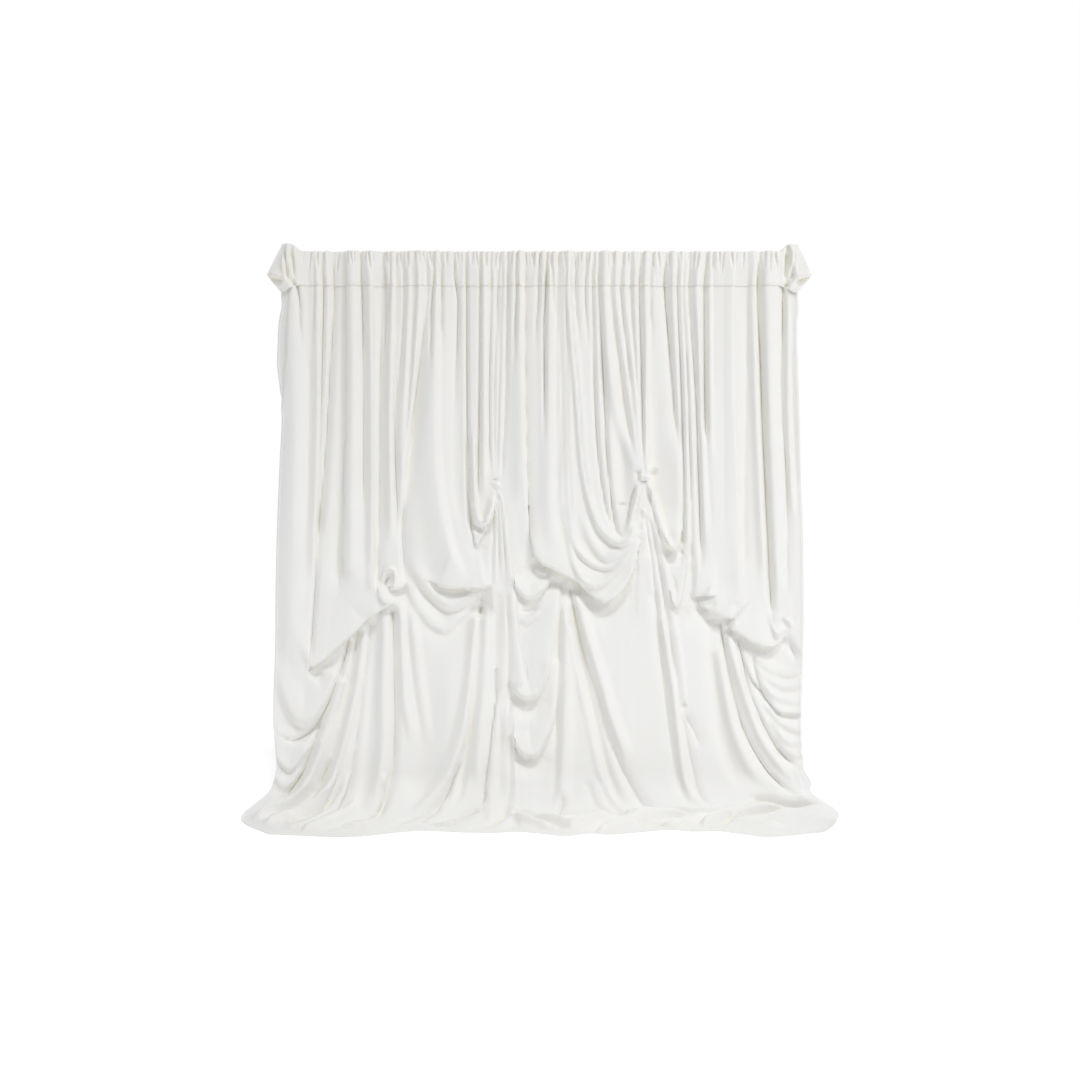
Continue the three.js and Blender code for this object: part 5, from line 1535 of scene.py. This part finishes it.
@dataclass
class RodPocket:
    """The doubled strip gathered on the rod, with an ear at each end and a row of stitches.

    Attributes:
        radius: Of the cloth round the rod.
        ear_root: Where the ears begin, across.
        left_ear, right_ear: Drops and reach of each ear's edge.
        ear_lift, ear_run: How far the ears' peaks rise, and the length past the root for it.
        lift_start, lift_span: Drop where this lift starts, and the length up for it.
        ear_droop, droop_run: How far the ears hang below the seam, and the length for it.
        ear_forward, forward_run: How far the ears come forward, and the length for it.
        draw_power: Power of the way up by which the plies part.
        stand_off, least_off: How far the plies stand off at the rod, and the least in a fold.
        deepest: Depth that a fold may have at the seam.
        rod_loss: Share of the panel's folds that is lost at the rod.
        gather_top: Drop whose folds go on up to the rod.
        gathers: The narrow tucks on the rod.
        uneven, uneven_cells: Height and cells of the soft noise along the rod.
        front_pucker, back_pucker, pucker_cells: Heights and cells of the puckers along the seam.
        pucker_up: Share of the way up that they reach.
        pucker_power: Power of the way up by which those in front grow from the seam.
        pinch, pinch_up: How far the stitches draw the front in, and the share of the way up.
        ply_gap: How far the back ply lies behind the front one at the seam.
        crown: Height of the arc over the rod.
        dent, dent_limits: Share of it by which noise and folds change it, and heights that count.
        ears: Folds of the ears.
        painted_shade: Painted shade in the creases.
        flat: Width and length that the strip was cut to, in metres. Not used.
        stitch_half: Half of a stitch's thickness.
        stitch_sweep, stitch_girth: Its rings, as shares of its length and of its thickness.
        stitch_tint: Share of the darker, warmer crease colour on every stitch, the same all along.
    """

    radius: float = 1.5
    columns: int = 700
    ply_rows: int = 24
    arc_rows: int = 10
    ear_root: float = 106.0
    left_ear: tuple[Place, ...] = ((-4.5, 113.4), (10.3, 121.3), (17.6, 115.2))
    right_ear: tuple[Place, ...] = ((-4.5, 113.6), (10.1, 120.9), (17.2, 114.9))
    ear_lift: float = 3.0
    ear_run: float = 5.0
    lift_start: float = 6.0
    lift_span: float = 7.0
    ear_droop: float = 3.2
    droop_run: float = 8.5
    ear_forward: float = 0.8
    forward_run: float = 3.0
    draw_power: float = 0.8
    stand_off: float = 1.3
    least_off: float = 0.1
    deepest: float = 4.0
    rod_loss: float = 0.4
    gather_top: float = 6.0
    gathers: Gathers = Gathers()
    uneven_cells: int = 60
    uneven: float = 0.3
    pucker_cells: int = 170
    front_pucker: float = 0.22
    back_pucker: float = 0.15
    pucker_up: float = 0.22
    pucker_power: float = 0.3
    pinch: float = 0.12
    pinch_up: float = 0.05
    ply_gap: float = 0.05
    crown: float = 1.05
    dent: float = 0.05
    dent_limits: tuple[float, float] = (-2.0, 1.0)
    ears: Relief = field(default_factory=lambda: Relief(EAR_FOLDS, top_band=-math.inf))
    # Painted shade in the pocket's creases
    painted_shade: PaintedCreaseShade = PaintedCreaseShade(0.45)
    flat: tuple[float, float] = (3.0, 0.36)
    seed: int = 11
    stitch_pitch: float = 0.5
    stitch_length: float = 0.34
    stitch_half: float = 0.035
    stitch_sweep: tuple[float, ...] = (-0.5, -0.3, 0.3, 0.5)
    stitch_girth: tuple[float, ...] = (0.25, 1.0, 1.0, 0.25)
    stitch_tint: float = 0.3

    # A stitch has six sides, so two four-cornered faces close each of its ends
    STITCH_SIDES: ClassVar[int] = 6
    CAP_HALVES: ClassVar[tuple[tuple[int, ...], ...]] = ((0, 1, 2, 3), (0, 3, 4, 5))

    def _across(self, seam: Array, drop: Array) -> Array:
        """Straight up from the seam, and flared out to the ear's edge beyond the ear's root.

        Args:
            seam: Places across at the seam.
            drop: Drops to work out.

        Returns:
            Places across.
        """
        left = np.interp(drop, *np.array(self.left_ear).T)
        right = np.interp(drop, *np.array(self.right_ear).T)
        edge = np.where(seam < 0, left, right)
        base = np.where(seam < 0, self.left_ear[-1][1], self.right_ear[-1][1])
        share = np.clip((np.abs(seam) - self.ear_root) / (base - self.ear_root), 0.0, 1.0)
        flared = np.sign(seam) * (self.ear_root + share * (edge - self.ear_root))
        return np.where(share > 0, flared, seam)

    def _height(self, seam: Array, up: Array) -> Array:
        """Height of both plies: even steps up to the rod, with ears that droop below and rise above.

        Args:
            seam: Places across at the seam.
            up: Shares of the way from the seam to the rod, one a row.

        Returns:
            Heights in centimetres, rows by columns.
        """
        reach = np.abs(seam) - self.ear_root
        droop = self.ear_droop * ease(reach / self.droop_run)
        lift = self.ear_lift * ease(reach / self.ear_run)
        height = -SEAM_DROP * (1 - up) - droop * (1 - up)
        return height + lift * ease((height + self.lift_start) / self.lift_span)

    def _plies(
        self, seam: Array, up: Array, folds: Array, noise: tuple[Array, Array]
    ) -> tuple[Array, Array]:
        """Depth of both plies, in eased lines from the seam to their stand-off at the rod.

        The front one has the panel's folds, the tucks on the rod and the pinch of the stitches.
        Small puckers crowd at the stitch line on both.

        Args:
            seam: Places across at the seam.
            up: Shares of the way from the seam to the rod, one a row.
            folds: Heights of the panel's folds.
            noise: Soft noise and puckers along the strip.

        Returns:
            Depths of the front and of the back ply, rows by columns.
        """
        uneven, pucker = noise
        drawn = ease(up**self.draw_power)
        off = self.radius + self.stand_off + self.uneven * uneven
        crowd = np.exp(-((up / self.pucker_up) ** 2))
        out = drawn * off + (1 - self.rod_loss * drawn) * folds - self.gathers.depth(seam, up[:, 0])
        front = -np.maximum(out, drawn * (self.radius + self.least_off) - self.deepest * (1 - drawn))
        pinch = self.pinch * np.exp(-((up / self.pinch_up) ** 2))
        forward = self.ear_forward * ease((np.abs(seam) - self.ear_root) / self.forward_run)
        front += pinch - self.front_pucker * pucker * crowd * up**self.pucker_power - forward
        back = -folds * (1 - drawn) + off[::-1] * drawn - self.back_pucker * pucker * crowd + self.ply_gap
        return front, back

    def surface(self, panel: DrapePanel) -> tuple[Array, Array, Array]:
        """Strip from the front seam up, over the rod and down to the back seam.

        Half an ellipse joins the two plies over the rod, and the ears have folds of their own.

        Args:
            panel: The sheet below, whose folds the strip shares at the seam.

        Returns:
            Points in metres, flat places in metres, and the share of painted crease shade at each point.
        """
        seam = np.linspace(-self.left_ear[-1][1], self.right_ear[-1][1], self.columns + 1)
        up = np.linspace(0.0, 1.0, self.ply_rows + 1)[:, None]
        rng = np.random.default_rng(self.seed)
        cells = (self.uneven_cells, self.pucker_cells)
        uneven, pucker = (soft_noise(rng, (2, len(seam)), (1, count))[0] for count in cells)
        held = np.clip(seam, LEFT_BORDER[0][0], RIGHT_BORDER[0][0]) * np.ones_like(up)
        hung = SEAM_DROP * (1 - up) * np.ones_like(seam)
        folds = panel.relief.over(held, np.maximum(hung, self.gather_top))[0]
        height = self._height(seam, up)
        across_ply = self._across(seam * np.ones_like(up), -height)
        front, back = self._plies(seam, up, folds, (uneven, pucker))
        front -= self.ears.over(across_ply, -height)[0]
        angle = np.linspace(0.0, np.pi, self.arc_rows + 1)[1:-1, None]
        arc = 0.5 * (back[-1] + front[-1]) - 0.5 * (back[-1] - front[-1]) * np.cos(angle)
        dent = self.dent * uneven + self.dent * np.clip(folds[-1], *self.dent_limits)
        crown = self.crown * np.sin(angle) * (1 + dent) + height[-1]
        depth = np.vstack([front, arc, back[::-1]])
        level = np.vstack([height, crown, height[::-1]])
        across = np.vstack([across_ply, across_ply[-1] * np.ones_like(angle), across_ply[::-1]])
        points = np.stack([across, depth, level], axis=-1)
        flat = np.stack([across, np.cumsum(np.ones_like(level), axis=0)], axis=-1)
        return points * CM, flat * CM, self.painted_shade.over(-depth)

    def build(
        self, panel: DrapePanel, finish: bpy.types.Material
    ) -> tuple[bpy.types.Object, bpy.types.Object]:
        """Makes the strip and its stitches, hangs them on the root body and hides the solid they stand for.

        Args:
            panel: The sheet below.
            finish: The cloth's material.

        Returns:
            The strip and the stitches.
        """
        points, flat, crease = self.surface(panel)
        faces = MeshMaker.grid_faces(MeshMaker.index(*points.shape[:2]))[:, ::-1]
        strip = MeshMaker.make("pocket_strip", points.reshape(-1, 3), faces, flat.reshape(-1, 2))
        MeshMaker.painted_shade(strip, crease)
        stitches = self._stitches(points[1])
        for piece in (strip, stitches):
            piece.data.materials.append(finish)
            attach(piece, "root")
        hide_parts("rod_pocket")
        return strip, stitches

    def _stitches(self, seam: Array) -> bpy.types.Object:
        """Row of short rounded threads, each a six-sided spindle laid along the seam line.

        Args:
            seam: Points of the seam line in metres.

        Returns:
            The stitches as one piece.
        """
        walked = np.concatenate([[0.0], np.cumsum(np.linalg.norm(np.diff(seam, axis=0), axis=1))])
        centre = np.arange(self.stitch_pitch * CM, walked[-1], self.stitch_pitch * CM)
        sweep = np.array(self.stitch_sweep) * self.stitch_length * CM
        girth = np.array(self.stitch_girth) * self.stitch_half * CM
        spot = centre[:, None] + sweep[None, :]
        core = np.stack([np.interp(spot, walked, seam[:, k]) for k in range(3)], axis=-1)
        core[..., 1] -= self.stitch_half * CM
        angle = np.linspace(0.0, 2 * np.pi, self.STITCH_SIDES + 1)[:-1]
        ring = np.stack([np.zeros_like(angle), np.cos(angle), np.sin(angle)], axis=-1)
        points = core[:, :, None, :] + girth[None, :, None, None] * ring[None, None]
        sides = MeshMaker.grid_faces(MeshMaker.index(len(sweep), len(angle), closed=True))
        halves = np.array(self.CAP_HALVES)
        last_ring = len(angle) * (len(sweep) - 1)
        one = np.concatenate([sides, halves, last_ring + halves[:, ::-1]])
        first = len(angle) * len(sweep) * np.arange(len(centre))
        faces = (one[None] + first[:, None, None]).reshape(-1, one.shape[1])
        stitches = MeshMaker.make("pocket_stitches", points.reshape(-1, 3), faces)
        MeshMaker.painted_shade(stitches, np.full(points.shape[:-1], self.stitch_tint))
        return stitches


@dataclass
class Studio:
    """Pale floor and surroundings, a key light from the front right, an overhead sun and the camera.

    Attributes:
        floor_gap: How far the floor lies under the cloth, in metres.
        floor_glow: Its own light, which makes it as white as what is round it.
        sky_low, sky_high: Light of the surroundings at the horizon and at the zenith.
        key_place, key_aim: Where the key light stands and what it points at, in metres.
        overhead_width: Width of the sun's disc, in degrees.
        overhead_way: Direction that the sun shines in.
    """

    floor_half: float = 9.0
    floor_gap: float = 0.001
    floor_white: Triple = (0.93, 0.93, 0.93)
    floor_roughness: float = 0.9
    floor_glow: float = 0.36
    sky_low: float = 0.14
    sky_high: float = 0.66
    key_place: Triple = (3.8, -3.8, 2.4)
    key_aim: Triple = (0.0, 0.0, -1.2)
    key_size: float = 1.4
    key_power: float = 89.0
    overhead: float = 0.85
    overhead_width: float = 7.0
    overhead_way: Triple = (-0.12, 0.46, -0.88)
    lens: float = 33.556
    sensor: float = 36.0

    WHITE: ClassVar[tuple[float, ...]] = (1.0, 1.0, 1.0, 1.0)

    def build(self) -> None:
        """Makes the floor, the surroundings, the lights and the camera."""
        bpy.context.scene.view_settings.view_transform = "Standard"
        self._floor()
        self._sky()
        self._key()
        self._overhead()
        self._camera()

    def _floor(self) -> None:
        """A flat white floor just under the cloth."""
        square = np.array([(-1.0, -1.0, 0.0), (1.0, -1.0, 0.0), (1.0, 1.0, 0.0), (-1.0, 1.0, 0.0)])
        corners = self.floor_half * square
        corners[:, 2] = -FLOOR_DROP * CM - self.floor_gap
        floor = MeshMaker.make("floor", corners, np.arange(len(corners))[None])
        paint = bpy.data.materials.new("Floor white")
        paint.use_nodes = True
        shader = paint.node_tree.nodes["Principled BSDF"]
        shader.inputs["Base Color"].default_value = (*self.floor_white, 1.0)
        shader.inputs["Roughness"].default_value = self.floor_roughness
        shader.inputs["Emission Color"].default_value = self.WHITE
        shader.inputs["Emission Strength"].default_value = self.floor_glow
        floor.data.materials.append(paint)

    def _sky(self) -> None:
        """White surroundings, whose light grows from the horizon to the zenith."""
        world = bpy.data.worlds.new("Studio")
        world.use_nodes = True
        bpy.context.scene.world = world
        nodes, links = world.node_tree.nodes, world.node_tree.links
        glow = nodes["Background"]
        glow.inputs["Color"].default_value = self.WHITE
        way = nodes.new("ShaderNodeTexCoord")
        parts = nodes.new("ShaderNodeSeparateXYZ")
        links.new(way.outputs["Generated"], parts.inputs["Vector"])
        level = nodes.new("ShaderNodeMapRange")
        level.inputs["To Min"].default_value = self.sky_low
        level.inputs["To Max"].default_value = self.sky_high
        links.new(parts.outputs["Z"], level.inputs["Value"])
        path = nodes.new("ShaderNodeLightPath")
        seen = nodes.new("ShaderNodeMix")
        seen.inputs["B"].default_value = 1.0
        links.new(path.outputs["Is Camera Ray"], seen.inputs["Factor"])
        links.new(level.outputs["Result"], seen.inputs["A"])
        links.new(seen.outputs["Result"], glow.inputs["Strength"])

    @staticmethod
    def _place(data: bpy.types.ID, place: Triple, turns: Triple) -> bpy.types.Object:
        """Puts a light or a camera into the scene.

        Args:
            data: The light or the camera.
            place: Where it stands, in metres.
            turns: Its turns about X, Y and Z.

        Returns:
            The new object.
        """
        made = bpy.data.objects.new(data.name, data)
        bpy.context.scene.collection.objects.link(made)
        made.location = place
        made.rotation_euler = turns
        return made

    def _key(self) -> None:
        """One square soft light."""
        data = bpy.data.lights.new("key", "AREA")
        data.size = self.key_size
        data.energy = self.key_power
        self._place(data, self.key_place, turned_along(np.subtract(self.key_aim, self.key_place)))

    def _overhead(self) -> None:
        """Even light from above and in front, soft by the width of its disc."""
        data = bpy.data.lights.new("overhead", "SUN")
        data.energy = self.overhead
        data.angle = math.radians(self.overhead_width)
        self._place(data, (0.0, 0.0, 0.0), turned_along(np.array(self.overhead_way)))

    def _camera(self) -> None:
        """Camera straight in front, where the lines of sight meet."""
        data = bpy.data.cameras.new("camera")
        data.lens = self.lens
        data.sensor_width = self.sensor
        place = (0.0, -SIGHT_DISTANCE * CM, -SIGHT_DROP * CM)
        bpy.context.scene.camera = self._place(data, place, (np.pi / 2, 0.0, 0.0))


def main() -> None:
    """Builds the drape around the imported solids, piece by piece."""
    logging.basicConfig(level=logging.INFO, format="%(name)s: %(message)s")
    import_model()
    panel = DrapePanel()
    sewn = [*panel.build(PANEL_KNIT.material()), *RodPocket().build(panel, POCKET_KNIT_PAINTED_LIGHTER.material())]
    for piece in sewn:
        LOG.info("%s: %d faces", piece.name, len(piece.data.polygons))
    Studio().build()


if __name__ == "__main__":
    main()
